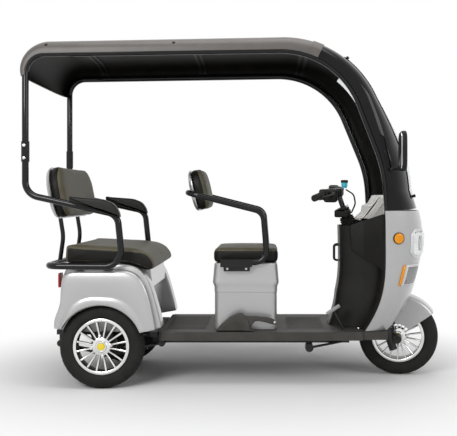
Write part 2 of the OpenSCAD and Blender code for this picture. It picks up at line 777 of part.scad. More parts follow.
// Under-frame rails and the steering head
rail_box = 40;
rail_low = 196;
rail_h = 30;
rear_rail_h = 25;
rail_rear = rx - 262;
spring_x = [rx - 230, rx + 278];
spring_y = rear_track / 2 - 105;
rail_in = spring_y - 70;
eye_z = axle_z - 5;
head_z0 = 540;
head_z1 = 760;
plate_t = 9;
pivot_x = fx - 479;
pivot_z = 173;
plate_z = [190, 222];
module frame() {
    hoop_z = rail_foot_z - rail_r - seat_gap;
    color(black)
        difference() {
            union() {
                both() {
                    translate([rx + 225, -rail_in - rail_box, rail_low])
                        cube([fx - 275 - rx - 225, rail_box, rail_h]);
                    translate([rx + 225, -rail_in - rail_box, rail_low])
                        cube([rail_box, rail_box, bench_z - seat_gap - rail_low]);
                    translate([rail_rear, -rail_in - rail_box, bench_z - seat_gap - rear_rail_h])
                        cube([rx + 260 - rail_rear, rail_box, rear_rail_h]);
                    translate([spring_x[0] - 16, -rail_in - rail_box, eye_z - 16])
                        cube([32, rail_box, bench_z - seat_gap - eye_z + 16]);
                    for (x = spring_x)
                        rod([x, -rail_in - 20, eye_z], [x, -spring_y - 26, eye_z], 8);
                }
                translate([rail_rear, -rail_in - 20, bench_z - seat_gap - rear_rail_h])
                    cube([rail_box, 2 * rail_in + 40, rear_rail_h]);
                for (x = [rx + 300, driver_x, fx - 315])
                    translate([x, -rail_in - rail_box, rail_low])
                        cube([rail_box, 2 * (rail_in + rail_box), floor_top - floor_t - seat_gap - rail_low]);
                for (x = [bench_rear, bench_front - 20])
                    translate([x, -bench_hw, bench_z - seat_gap - rear_rail_h])
                        cube([rail_box, 2 * bench_hw, rear_rail_h]);
                rod(on_axis(head_z0), on_axis(head_z1), steerer_r + 9);
                tube([[fx - 295, 0, rail_low + 20], [axis_x(600) - 60, 0, 420],
                      on_axis(650) - [8, 0, 0]], 18, [120]);
                rod([rail_foot_x, -rail_foot_y - 12, hoop_z], [rail_foot_x, rail_foot_y + 12, hoop_z],
                    rail_r);
                rod([rail_foot_x, 0, hoop_z], on_axis(690), 13);
                translate([pivot_x - 16, -rail_in - rail_box, pivot_z])
                    cube([32, rail_box, rail_low - pivot_z + 4]);
                rod([pivot_x, -rail_in - rail_box - 24, pivot_z], [pivot_x, -rail_in - 4, pivot_z], 21);
                rod([pivot_x, -rail_in - rail_box - 14, pivot_z], [fx - 312, -rail_in - rail_box - 14, 205], 6);
                translate([rail_rear - plate_t, -90, 172])
                    cube([plate_t + 1, 180, 90]);
            }
            rod(on_axis(head_z0 - 60), on_axis(head_z1 + 60), steerer_r + run_gap);
            for (y = [-60, 60], z = plate_z)
                translate([rail_rear - 40, y, z])
                    rotate([0, 90, 0])
                        cylinder(h = 60, r = 4.5);
        }
}

leg_y = 84;
fender_half = 56;
leg_off = 18;
module fork() {
    foot = on_axis(150) + [leg_off / cos(rake), 0, 0];
    neck = on_axis(500) + [leg_off / cos(rake), 0, 0];
    stay = on_axis(300) + [leg_off / cos(rake), 0, 0];
    color(black)
        turned()
            difference() {
                union() {
                    rod(on_axis(486), on_axis(846), steerer_r);
                    translate(on_axis(511))
                        rotate([0, -rake, 0])
                            linear_extrude(36, center = true)
                                union() {
                                    translate([-24, -leg_y])
                                        square([50, 2 * leg_y]);
                                    for (s = [-1, 1])
                                        translate([leg_off - 2, s * leg_y])
                                            circle(r = 25);
                                }
                    both() {
                        rod([foot.x, -leg_y, foot.z], [neck.x, -leg_y, neck.z], 16);
                        rod([foot.x, -leg_y, foot.z], lerp([foot.x, -leg_y, foot.z],
                            [neck.x, -leg_y, neck.z], 0.55), 21);
                        translate([fx, -leg_y, axle_z])
                            rotate([90, 0, 0])
                                cylinder(h = 38, r = 22, center = true);
                        translate([fx - 24, -leg_y - 14, axle_z - 20])
                            cube([20, 28, 40]);
                        rod([stay.x, -leg_y, stay.z], [stay.x, -fender_half - seat_gap, stay.z], 9);
                    }
                    rod(on_axis(842), on_axis(876), 30);
                    rod([fx, -leg_y - 26, axle_z], [fx, leg_y + 26, axle_z], axle_r);
                }
            }
}
module bellows() {
    color(black)
        turned()
            translate(on_axis(tray_z + tray_t + 13))
                rotate([0, -rake, 0])
                    difference() {
                        union()
                            for (i = [0:4])
                                translate([0, 0, i * 12.2]) {
                                    cylinder(h = 6.4, r1 = 27 - i, r2 = 34 - i);
                                    translate([0, 0, 6.3])
                                        cylinder(h = 6, r1 = 34 - i, r2 = 26 - i);
                                }
                        translate([0, 0, -5])
                            cylinder(h = 100, r = steerer_r + seat_gap);
                    }
}
sweep = 77;
bar_rise = -10;
module handlebar() {
    c = on_axis(bar_z);
    color(black)
        turned() {
            tube([[c.x - sweep, -bar_hw, bar_z + bar_rise], [c.x - 40, -178, bar_z + 4],
                  [c.x, -62, bar_z], [c.x, 62, bar_z],
                  [c.x - 40, 178, bar_z + 4], [c.x - sweep, bar_hw, bar_z + bar_rise]],
                 bar_r, [90, 80, 80, 90]);
            both()
                rod(on_axis(880) + [0, -38, 0], on_axis(bar_z - 4) + [0, -38, 0], 9);
            translate(on_axis(876))
                rotate([0, -rake, 0])
                    translate([-24, -52, seat_gap])
                        cube([48, 104, 10]);
        }
}
module grips() {
    c = on_axis(bar_z);
    a = [c.x - sweep, -bar_hw, bar_z + bar_rise];
    d = unit([c.x - 40, -178, bar_z + 4] - a);
    color(charcoal)
        turned()
            both() {
                difference() {
                    rod(a - d * 4, a + d * 112, grip_r);
                    rod(a, a + d * 130, bar_r + seat_gap);
                }
                difference() {
                    rod(a + d * 116, a + d * 150, 24);
                    rod(a, a + d * 160, bar_r + seat_gap);
                }
            }
}
fender_in = tyre_r + 14;
module front_fender() {
    color(silver)
        turned()
            translate([fx, 0, axle_z])
                rotate([90, 0, 0])
                    rotate([0, 0, 36])
                        rotate_extrude(angle = 104)
                            difference() {
                                union() {
                                    translate([70, -fender_half])
                                        square([fender_in + 4 - 24 - 70, 2 * fender_half]);
                                    translate([fender_in + 4 - 25, -32])
                                        square([25, 64]);
                                    for (s = [-1, 1])
                                        translate([fender_in + 4 - 24, s * 32])
                                            circle(r = 24);
                                }
                                translate([60, -53])
                                    square([fender_in + 1 - 21 - 60, 106]);
                                translate([fender_in + 1 - 25, -32])
                                    square([25, 64]);
                                for (s = [-1, 1])
                                    translate([fender_in + 1 - 21, s * 32])
                                        circle(r = 21);
                            }
}

// Tyre on its own axis
module tyre_body() {
    rotate([90, 0, 0])
        rotate_extrude()
            difference() {
                intersection() {
                    translate([tyre_r - 42, 0])
                        circle(r = tyre_hw);
                    translate([tyre_r - 100, 0])
                        circle(r = 100);
                }
                translate([0, -60])
                    square([rim_r - 7 + seat_gap, 120]);
                for (s = [-1, 1])
                    translate([rim_r - 20, s * (rim_hw + 3) - 5 - (s > 0 ? 4 : -4) - seat_gap])
                        square([20 + seat_gap, 10 + 2 * seat_gap]);
            }
}
// Rim on its own axis, with spokes on its outer side
module rim_body(count) {
    difference() {
        union() {
            rotate([90, 0, 0]) {
                rotate_extrude()
                    union() {
                        translate([rim_r - 13, -rim_hw])
                            square([6, 2 * rim_hw]);
                        for (s = [-1, 1])
                            translate([rim_r - 13, s > 0 ? rim_hw - 5 : -rim_hw])
                                square([13, 5]);
                    }
                translate([0, 0, -24])
                    cylinder(h = 58, r = hub_r);
            }
            rotate([90, 0, 0])
                for (i = [0:count - 1])
                    rotate([0, 0, 360 / count * (i + 0.5)])
                        translate([hub_r - 6, -4, 12])
                            cube([rim_r - 10 - hub_r + 6, 8, 16]);
        }
        rotate([90, 0, 0])
            translate([0, 0, -100])
                cylinder(h = 200, r = axle_r + run_gap);
    }
}
module at_front() {
    turned()
        translate([fx, 0, axle_z])
            children();
}
module at_right() {
    translate([rx, -rear_track / 2, axle_z])
        children();
}
module front_tyre() {
    color(black) at_front() tyre_body();
}
module front_rim() {
    color(steel) at_front() rim_body(front_spokes);
}
module right_tyre() {
    color(black) at_right() tyre_body();
}
module right_rim() {
    color(steel) at_right() rim_body(rear_spokes);
}
module left_tyre() {
    color(black) mirror([0, 1, 0]) at_right() tyre_body();
}
module left_rim() {
    color(steel) mirror([0, 1, 0]) at_right() rim_body(rear_spokes);
}

module rear_axle() {
    color(black) {
        rod([rx, -rear_track / 2 + 60, axle_z], [rx, rear_track / 2 - 60, axle_z], axle_tube_r);
        translate([rx, 0, axle_z])
            rotate([90, 0, 0])
                cylinder(h = 190, r = 82, center = true);
        both() {
            rod([rx, -rear_track / 2 + 62, axle_z], [rx, -rear_track / 2 - 40, axle_z], axle_r);
            rod([rx, -rear_track / 2 + 60, axle_z], [rx, -rear_track / 2 + 28, axle_z], 62);
        }
    }
}

// Leaf springs: an arc between two eyes, strapped under the axle tube
spring_span = spring_x[1] - spring_x[0];
spring_sag = 42;
leaf_w = 40;
spring_r = (pow(spring_span / 2, 2) + pow(spring_sag, 2)) / (2 * spring_sag);
axle_tube_r = 26;
module leaf_springs() {
    half = asin(spring_span / 2 / spring_r);
    mid = (spring_x[0] + spring_x[1]) / 2;
    low = eye_z - spring_sag;
    color(black)
        both()
            difference() {
                union() {
                    translate([mid, -spring_y, low + spring_r])
                        rotate([90, 0, 0])
                            for (k = [0:2])
                                rotate([0, 0, 270 - half * (1 - 0.3 * k)])
                                    rotate_extrude(angle = 2 * half * (1 - 0.3 * k))
                                        translate([spring_r - 4 + 6 * k, k - leaf_w / 2])
                                            square([7, leaf_w - 2 * k]);
                    for (x = spring_x)
                        translate([x, -spring_y, eye_z])
                            rotate([90, 0, 0])
                                cylinder(h = leaf_w + 4, r = 17, center = true);
                    translate([rx - 34, -spring_y - 24, low - 2])
                        cube([68, 48, axle_z - axle_tube_r * 0.5 - low]);
                }
                for (x = spring_x)
                    translate([x, -spring_y, eye_z])
                        rotate([90, 0, 0])
                            cylinder(h = 60, r = 8 + seat_gap, center = true);
                rod([rx, -spring_y - 60, axle_z], [rx, -spring_y + 60, axle_z], axle_tube_r + seat_gap);
            }
}

module handbrake() {
    y = -box_hw - 45;
    knee = [driver_x + 62, y, floor_top + 32];
    tip = [driver_x + 140, y, floor_top + 47];
    color(black) {
        translate([driver_x - 144, y - 22, floor_top + seat_gap])
            rotate([90, 0, 0])
                mirror([0, 0, 1])
                    linear_extrude(44)
                        polygon([[0, 0], [186, 0], [150, 34], [130, 60], [112, 92], [96, 92], [60, 60]]);
        tube([[driver_x - 24, y, floor_top + 60], knee, tip], 9, [70]);
        rod(tip - [4, 0, 0], tip + [13, 0, 2], 5.5);
    }
}

// Bag hook on the steering tunnel
module bag_hook() {
    x = shield_x(0, 650) - cowl_t - 3;
    color(black) {
        translate([x - 28, -6, 600])
            cube([10, 12, 84]);
        for (z = [596, 680])
            translate([x - 28, -9, z])
                cube([28, 18, 10]);
    }
}

module brake_pedal() {
    color(steel) {
        rod([fx - 310, -215, floor_top + seat_gap + 4], [fx - 357, -215, 362], 8);
        translate([fx - 360, -215, 369])
            rotate([0, -33, 0])
                cube([80, 62, 10], center = true);
    }
}

// Mirrors on stalks from the windscreen pillars
mirror_x = fx - 67;
mirror_y = 478;
mirror_z = 1152;
mirror_t = 28;
stalk_s = roof_s[5] + 0.52 * foot_len;
stalk_th = 168;
function roof_out(s, th) =
    unit(cross(roof_point(roof_station(s), th + 0.5, 0) - roof_point(roof_station(s), th - 0.5, 0),
               roof_point(roof_station(s + 1), th, 0) - roof_point(roof_station(s - 1), th, 0)));
module mirrors() {
    p = roof_point(roof_station(stalk_s), stalk_th, 0);
    n = roof_out(stalk_s, stalk_th);
    color(black)
        both() {
            translate([mirror_x, -mirror_y, mirror_z])
                rotate([0, 90, 0])
                    linear_extrude(mirror_t)
                        union() {
                            translate([-64, -56])
                                square([128, 112]);
                            translate([-94, -26])
                                square([188, 52]);
                            for (x = [-64, 64], y = [-26, 26])
                                translate([x, y])
                                    circle(r = 30);
                        }
            rod(p + n * 0.6 * seat_gap, p + n * 9, 14);
            tube([p + n * 5, p + n * 34, [mirror_x + mirror_t / 2, -mirror_y + 12, mirror_z - 80]], 6, [16]);
        }
}

frame();
floor_pan();
front_cowl();
leg_shield();
dash();
instrument_hood();
headlamp();
front_lamps();
roof_rear();
roof_front();
windscreen();
roof_rails();
roof_straps();
armrest_frames();
armrest_pads();
rear_bar();
bench_back_shell();
bench_back_pad();
bench_box();
fenders();
tail_lamps();
bench_cushion();
driver_box();
battery();
driver_cushion();
driver_hoop();
driver_back_shell();
driver_back_pad();
handbrake();
brake_pedal();
bag_hook();
rear_axle();
leaf_springs();
mirrors();
fork();
bellows();
handlebar();
grips();
front_fender();
front_tyre();
front_rim();
right_tyre();
right_rim();
left_tyre();
left_rim();
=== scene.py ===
import math

import bmesh
import bpy
import numpy as np
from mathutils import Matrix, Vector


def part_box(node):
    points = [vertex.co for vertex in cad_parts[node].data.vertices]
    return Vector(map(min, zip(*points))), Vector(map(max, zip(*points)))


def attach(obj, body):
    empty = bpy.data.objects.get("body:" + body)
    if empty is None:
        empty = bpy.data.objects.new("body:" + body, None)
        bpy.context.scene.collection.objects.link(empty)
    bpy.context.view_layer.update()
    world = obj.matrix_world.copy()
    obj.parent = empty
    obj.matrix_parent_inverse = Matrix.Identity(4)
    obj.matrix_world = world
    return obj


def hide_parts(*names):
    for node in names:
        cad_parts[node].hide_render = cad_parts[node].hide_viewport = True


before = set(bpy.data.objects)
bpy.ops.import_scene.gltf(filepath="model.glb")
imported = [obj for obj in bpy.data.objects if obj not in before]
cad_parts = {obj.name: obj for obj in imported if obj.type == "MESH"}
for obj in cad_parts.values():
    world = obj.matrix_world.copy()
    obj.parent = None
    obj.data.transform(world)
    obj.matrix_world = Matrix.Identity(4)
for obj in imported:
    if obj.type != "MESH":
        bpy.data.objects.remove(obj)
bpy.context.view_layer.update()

# Ladder frame, rear axle and leaf springs
# Box-section steel rails and cross members, a tubular axle with its gear case and three-leaf
# springs, all welded or bolted together and powder coated black.
MM = 0.001


def fed(tree, node, **inputs):
    """The node after each named socket, its spaces written as underscores, is set to a value or
    joined to an output."""
    for name, value in inputs.items():
        socket = node.inputs[name.replace("_", " ")]
        if isinstance(value, bpy.types.NodeSocket):
            tree.links.new(value, socket)
        else:
            socket.default_value = value
    return node


def shader_node(tree, kind, settings=None, **inputs):
    """New node of a kind with its own settings and its sockets fed."""
    node = tree.nodes.new("ShaderNode" + kind)
    for key, value in (settings or {}).items():
        setattr(node, key, value)
    return fed(tree, node, **inputs)


def ramp(tree, feed, low, high, ends=(0, 1)):
    """Colour that goes from one tone to another between two values of what feeds it."""
    tone = shader_node(tree, "ValToRGB", Fac=feed)
    for stop, at, colour in zip(tone.color_ramp.elements, ends, (low, high)):
        stop.position, stop.color = at, (*colour, 1)
    return tone.outputs["Color"]


def new_finish(name):
    """New material with its node tree, its main shader and the object's own coordinates."""
    material = bpy.data.materials.new(name)
    material.use_nodes = True
    tree = material.node_tree
    place = shader_node(tree, "TexCoord").outputs["Object"]
    return material, tree, tree.nodes["Principled BSDF"], place


def grained(name, dark, light, rough, grain=1.2, lift=0.02, patch=70, **sockets):
    """Finish whose colour drifts between two tones over patches, while a fine noise of the grain's
    size in millimetres sets the roughness between two values and lifts the surface."""
    material, tree, shader, place = new_finish(name)
    slow = shader_node(tree, "TexNoise", Vector=place, Scale=1 / (patch * MM), Detail=4)
    fine = shader_node(tree, "TexNoise", Vector=place, Scale=1 / (grain * MM), Detail=3)
    fine = fine.outputs["Fac"]
    spread = shader_node(tree, "MapRange", Value=fine, From_Min=0.3, From_Max=0.7,
                         To_Min=rough[0], To_Max=rough[1])
    fed(tree, shader, Base_Color=ramp(tree, slow.outputs["Fac"], dark, light, (0.3, 0.7)),
        Roughness=spread.outputs["Result"], **sockets)
    if lift:
        bump = shader_node(tree, "Bump", Strength=0.6, Distance=lift * MM, Height=fine)
        fed(tree, shader, Normal=bump.outputs["Normal"])
    return material


def dress(node, finish):
    """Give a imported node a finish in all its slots."""
    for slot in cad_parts[node].material_slots:
        slot.material = finish


powder_black = grained("powder_black", (0.010, 0.010, 0.010), (0.016, 0.016, 0.015), (0.32, 0.5),
                       grain=1.6, lift=0.05, Specular_IOR_Level=0.35)
for node in ("frame", "rear_axle", "leaf_springs"):
    dress(node, powder_black)


# Floor tray
# One vacuum-formed charcoal ABS tray with a rolled edge, and two ribbed foot mats moulded into it
# before and behind the driver's box.
def span(node):
    """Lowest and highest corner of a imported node, in millimetres."""
    low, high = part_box(node)
    return np.array(low) / MM, np.array(high) / MM


def lattice(rows, columns, round_rows=False, round_columns=False):
    """Four-cornered faces of a grid of points stored row by row; a round direction closes."""
    i = np.arange(rows if round_rows else rows - 1)[:, None]
    j = np.arange(columns if round_columns else columns - 1)[None, :]
    ahead, beside = (i + 1) % rows, (j + 1) % columns
    corners = [i * columns + j, ahead * columns + j, ahead * columns + beside, i * columns + beside]
    return np.stack(corners, -1).reshape(-1, 4)


def slab(front, back):
    """Closed slab between two grids of the same size: both faces, and a rim round their edges."""
    rows, columns = front.shape[:2]
    edge = np.concatenate([np.arange(columns), np.arange(1, rows) * columns + columns - 1,
                           rows * columns - 1 - np.arange(1, columns),
                           np.arange(rows - 2, 0, -1) * columns])
    turn = np.roll(edge, -1)
    total = rows * columns
    rim = np.stack([edge, turn, turn + total, edge + total], -1)
    cells = lattice(rows, columns)
    points = np.concatenate([front.reshape(-1, 3), back.reshape(-1, 3)])
    return points, [cells, cells[:, ::-1] + total, rim]


def piece(name, parts, body, stands_for=(), crease=35):
    """One object from parts of points in millimetres, faces and finish. Doubles are merged, normals
    turned outwards, edges sharper than the crease stay sharp, and it rides on a body."""
    mesh = bpy.data.meshes.new(name)
    points, faces, marks, count = [], [], [], 0
    for place, cells, finish in parts:
        if finish.name not in mesh.materials:
            mesh.materials.append(finish)
        mark = mesh.materials.find(finish.name)
        for block in cells:
            faces += (block + count).tolist()
            marks += [mark] * len(block)
        points.append(np.asarray(place, float).reshape(-1, 3))
        count += len(points[-1])
    mesh.from_pydata((np.concatenate(points) * MM).tolist(), [], faces)
    mesh.polygons.foreach_set("material_index", marks)
    work = bmesh.new()
    work.from_mesh(mesh)
    bmesh.ops.remove_doubles(work, verts=work.verts, dist=1e-6)
    bmesh.ops.recalc_face_normals(work, faces=work.faces)
    work.to_mesh(mesh)
    work.free()
    mesh.shade_smooth()
    mesh.set_sharp_from_angle(angle=math.radians(crease))
    made = bpy.data.objects.new(name, mesh)
    bpy.context.scene.collection.objects.link(made)
    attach(made, body)
    if stands_for:
        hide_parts(*stands_for)
    return made


def smooth(t):
    """Ease from 0 to 1 with level ends: 3t squared less 2t cubed."""
    t = np.clip(t, 0, 1)
    return t * t * (3 - 2 * t)


floor_plastic = grained("floor_plastic", (0.032, 0.030, 0.026), (0.046, 0.043, 0.038), (0.5, 0.68),
                        grain=0.9, lift=0.12, Specular_IOR_Level=0.35)
dress("floor_pan", floor_plastic)
floor_top = span("floor_pan")[1][2]


def foot_mat(x0, x1, half_width, pitch=34):
    """Ribbed mat: height over the floor is a rounded comb across the width, fading at the edges."""
    x = np.linspace(x0, x1, 60)[:, None]
    y = np.linspace(-half_width, half_width, 240)[None, :]
    comb = smooth((np.cos(2 * np.pi * y / pitch) + 0.55) / 0.5)
    fade = smooth((x - x0 - 12) / 12) * smooth((x1 - 12 - x) / 12)
    fade = fade * smooth((half_width - 10 - abs(y)) / 10)
    rim = smooth((x - x0) / 3) * smooth((x1 - x) / 3) * smooth((half_width - abs(y)) / 3)
    high = floor_top - 0.4 + 1.0 * rim + 2.6 * comb * fade
    top = np.stack(np.broadcast_arrays(x, y, high), -1)
    under = top.copy()
    under[..., 2] = floor_top - 1.5
    return slab(top, under)


box_low, box_high = span("driver_box")
mats = [foot_mat(box_high[0] + 22, box_high[0] + 245, 206),
        foot_mat(span("floor_pan")[0][0] + 12, box_low[0] - 18, 214)]
piece("foot_mats", [(*m, floor_plastic) for m in mats], "chassis")


# Wheels
# Tubeless road tyres on cast rims: a polished lip and spoke faces, satin black wells between, a hub
# with four nuts and a plain yellow centre cap.
def spun(section, count=96, ring=False):
    """Section of radius and distance along the axle spun about the Y axis: a ring section closes on
    itself, any other is capped at both ends."""
    turn = np.linspace(0, 2 * np.pi, count, endpoint=False)[:, None]
    radius, along = np.asarray(section, float).T[:, None]
    points = np.stack([radius * np.cos(turn), along + 0 * turn, radius * np.sin(turn)], -1)
    size = len(section)
    cells = [lattice(count, size, True, ring)]
    if not ring:
        cells += [np.arange(count)[None] * size, np.arange(count)[None] * size + size - 1]
    return points.reshape(-1, 3), cells


def spow(value, power):
    """Power of the size of a value that keeps its sign."""
    return np.sign(value) * np.abs(value) ** power


def placed(part, move=(0, 0, 0), turn=None):
    """A part turned by a matrix about the origin and then moved."""
    points = part[0] if turn is None else part[0] @ np.asarray(turn).T
    return points + np.asarray(move, float), part[1]


def about(axis, degrees):
    """Matrix of a turn about an axis: cosine share, sine cross share and the axis share."""
    x, y, z = np.asarray(axis, float) / np.linalg.norm(axis)
    a = math.radians(degrees)
    cross = np.array([[0, -z, y], [z, 0, -x], [-y, x, 0]])
    return np.eye(3) + math.sin(a) * cross + (1 - math.cos(a)) * cross @ cross


def spread_round(part, count, first=0.0):
    """Copies of a part at even turns about the Y axis, joined into one part."""
    turns = np.radians(first + 360 / count * np.arange(count))
    c, s, o = np.cos(turns), np.sin(turns), 0 * turns
    spin = np.stack([np.stack([c, o, -s], -1), np.stack([o, o + 1, o], -1),
                     np.stack([s, o, c], -1)], -2)
    points = np.einsum("kij,nj->kni", spin, part[0])
    steps = np.arange(count)[:, None, None] * len(part[0])
    return points.reshape(-1, 3), [(b[None] + steps).reshape(-1, b.shape[1]) for b in part[1]]


tyre_rubber = grained("tyre_rubber", (0.011, 0.011, 0.010), (0.018, 0.0175, 0.016), (0.6, 0.82),
                      grain=1.1, lift=0.12, Specular_IOR_Level=0.2)
polished_alloy = grained("polished_alloy", (0.70, 0.70, 0.69), (0.82, 0.82, 0.81), (0.1, 0.22),
                         grain=0.8, lift=0.004, Metallic=1.0)
rim_black = grained("rim_black", (0.008, 0.008, 0.009), (0.014, 0.014, 0.014), (0.25, 0.4),
                    grain=1.0, lift=0.01)
cap_yellow = grained("cap_yellow", (0.78, 0.60, 0.02), (0.86, 0.68, 0.04), (0.25, 0.4), lift=0.01)
tyre_r, tyre_hw, rim_r, rim_hw, hub_r, axle_hole = 207.0, 43.0, 135.0, 36.0, 47.0, 9.2
wall_r, tyre_square, groove_count, groove_depth = 165, 2.5, 30, 4.2
lane_at, shoulder_r, moulded_line = 13, 183, 152


def tyre_part():
    """Tyre skin: a superellipse section about mid sidewall, spun round, with a moulded line low on
    the wall, a round groove near each shoulder and slanted grooves cut across the shoulders."""
    v = np.radians(np.linspace(-62, 90, 30))
    wall = np.where(v < 0, 34.0, tyre_r - wall_r)
    across = tyre_hw * np.cos(v) ** (2 / tyre_square)
    out = wall_r + wall * spow(np.sin(v), 2 / tyre_square)
    across = np.concatenate([across, -across[-2::-1]])
    out = np.concatenate([out, out[-2::-1]])
    count = 240
    turn = np.linspace(0, 2 * np.pi, count, endpoint=False)[:, None]
    side = np.abs(across)[None]
    tread = smooth((out[None] - shoulder_r) / 8)
    lane = np.exp(-((side - lane_at) / 2.6) ** 2)
    wave = np.cos(groove_count * turn + 0.16 * across[None])
    cut = smooth((wave - 0.72) / 0.16) * smooth((side - (lane_at + 2)) / 3)
    deep = groove_depth * tread * np.maximum(lane, cut)
    line = 0.9 * np.exp(-((out[None] - moulded_line) / 1.3) ** 2) * (side > 30)
    reach = out[None] - deep
    wide = across[None] + np.sign(across)[None] * line
    skin = np.stack([reach * np.cos(turn), wide + 0 * turn, reach * np.sin(turn)], -1)
    bead = np.array([[rim_r - 6, -rim_hw + 6], [rim_r - 6, rim_hw - 6]])
    inner = bead[None, :, 0] * np.stack([np.cos(turn), np.sin(turn)])
    inner = np.stack([inner[0], bead[None, :, 1] + 0 * turn, inner[1]], -1)
    points = np.concatenate([skin, inner], 1)
    return points.reshape(-1, 3), [lattice(count, points.shape[1], True, True)]


def rim_parts(spokes, wide):
    """Rim in its own place with the outer side at -Y: black well and flanges, polished lip, spokes
    whose faces are polished and flanks black, hub, nuts and cap."""
    well = [(rim_r, -rim_hw), (rim_r, -rim_hw + 5), (rim_r - 6, -rim_hw + 8),
            (rim_r - 7, rim_hw - 8), (rim_r, rim_hw - 5), (rim_r, rim_hw), (rim_r - 8, rim_hw),
            (rim_r - 12, rim_hw - 7), (rim_r - 13, -rim_hw + 10), (rim_r - 12, -rim_hw + 2)]
    lip = [(rim_r - 12, -rim_hw + 3), (rim_r - 12.5, -rim_hw - 0.5), (rim_r - 8, -rim_hw - 2.5),
           (rim_r - 2, -rim_hw - 2.5), (rim_r + 1.5, -rim_hw - 0.5), (rim_r + 1.5, -rim_hw + 2)]
    hub = [(axle_hole, -34), (hub_r - 9, -34), (hub_r - 3, -31), (hub_r, -24), (hub_r, 22),
           (hub_r - 4, 24), (axle_hole, 24)]
    face = [(1, -41), (14, -41), (17.5, -39.5), (18, -36), (18, -33)]
    boss = [(19, -33), (19, -38.5), (21.5, -40), (26, -39), (29, -34), (29, -31)]
    nut = [(2, -41), (5.5, -40), (7.5, -36.5), (9, -36), (9, -32)]
    long = np.linspace(0, 1, 7)[:, None]
    reach = 27 + (rim_r - 14 - 27) * long
    half = wide * (0.72 + 0.28 * long)
    dish = -33.5 + 5 * np.sin(np.pi * long) ** 2 + 1.5 * long
    across = np.array([[-1.3, -1, -0.55, 0.55, 1, 1.3]])
    under = np.array([[15, 1.2, 0, 0, 1.2, 15]])
    bar = np.stack([reach + 0 * across, dish + under, half * across], -1)
    top, side = bar[:, 1:5], bar[:, [4, 5, 0, 1]]
    faces = (top.reshape(-1, 3), [lattice(7, 4)])
    flanks = (side.reshape(-1, 3), [lattice(7, 4), np.array([[0, 1, 2, 3], [24, 25, 26, 27]])])
    nuts = spread_round(placed(spun(nut, 6), (49, 0, 0)), 4, 8)
    return [(*spun(well, 120, True), rim_black), (*spun(lip, 120, True), polished_alloy),
            (*spun(hub, 64, True), polished_alloy), (*spun(boss, 48), polished_alloy),
            (*spun(face, 48), cap_yellow), (*nuts, polished_alloy),
            (*spread_round(faces, spokes, 180 / spokes), polished_alloy),
            (*spread_round(flanks, spokes, 180 / spokes), rim_black)]


rear_x = span("right_tyre")[0][0] + tyre_r
rear_track = 620.0
for name, side in (("right", -1), ("left", 1)):
    hub_at = (rear_x, side * rear_track / 2, tyre_r)
    flip = np.eye(3) if side < 0 else about((0, 0, 1), 180)
    piece(name + "_tyre_skin", [(*placed(tyre_part(), hub_at), tyre_rubber)], name + "_wheel",
          [name + "_tyre"])
    piece(name + "_rim_cast", [(*placed((p, c), hub_at, flip), f)
                               for p, c, f in rim_parts(16, 4.2)], name + "_wheel", [name + "_rim"])
rake, steer_rest, wheelbase = 19, 12, 1500
steer_foot = np.array([571.0, 0, 819])
steer_axis = about((0, 1, 0), -rake) @ np.array([0, 0, 1.0])
steer_turn = about(steer_axis, -steer_rest)


def steered(part):
    """A part of the straight-ahead steering, turned with it about the steering axis."""
    return placed(placed(part, -steer_foot), steer_foot, steer_turn)


front_x = rear_x + wheelbase
front_hub = (front_x, 0, tyre_r)
piece("front_tyre_skin", [(*steered(placed(tyre_part(), front_hub)), tyre_rubber)],
      "front_wheel", ["front_tyre"])
piece("front_rim_cast", [(*steered(placed((p, c), front_hub)), f)
                         for p, c, f in rim_parts(18, 3.2)], "front_wheel", ["front_rim"])


# Rear fenders
# A pair of ABS mouldings in metallic silver: a flared lip round the wheel arch, a full skin, a
# raised trim strip behind a dark groove along the top and the front edge, and an inner wall.
def metallic(name, colour, flake=0.75):
    """Silver paint: fine cells of slightly different brightness as flakes under a clear coat."""
    material, tree, shader, place = new_finish(name)
    cells = shader_node(tree, "TexVoronoi", Vector=place, Scale=1 / (flake * MM))
    drift = shader_node(tree, "TexNoise", Vector=place, Scale=1 / (45 * MM))
    spread = shader_node(tree, "MapRange", Value=drift.outputs["Fac"], To_Min=0.29, To_Max=0.35)
    colour = np.array(colour)
    fed(tree, shader, Base_Color=ramp(tree, cells.outputs["Color"], 0.9 * colour, 1.1 * colour),
        Roughness=spread.outputs["Result"], Metallic=0.4, Coat_Weight=0.7, Coat_Roughness=0.06)
    return material


silver_paint = metallic("silver_paint", (0.43, 0.432, 0.43))
silver_light = metallic("silver_light", (0.60, 0.60, 0.60))
fender_hw, arch_r, fender_top = 386.0, 206.0, 588.0
bench_hw = 240.0
# Columns across the skin: share of the way from arch to outline, rise beyond it, distance in
fender_cols = np.array([
    [-0.03, 0, 26], [-0.02, 0, 16], [0.0, 0, 2], [0.03, 0, -2], [0.12, 0, -2], [0.2, 0, 1],
    [0.225, 0, 4], [0.26, 0, 4], [0.38, 0, 1], [0.55, 0, 0], [0.75, 0, 2], [0.9, 0, 6],
    [0.97, 0, 13], [1.0, -1, 24], [1.0, 0, 32], [1.0, -2, 36], [1.0, -7, 37.5], [1.0, -7, 42],
    [1.0, 14, 43.5], [1.0, 20, 47], [1.0, 23, 56], [1.0, 23, 90],
    [1.0, 23, fender_hw - bench_hw - 6], [1.0, 21, fender_hw - bench_hw - 2.5],
    [1.0, 12, fender_hw - bench_hw - 2], [0.6, 0, fender_hw - bench_hw - 2],
    [0.04, 0, fender_hw - bench_hw - 2]])


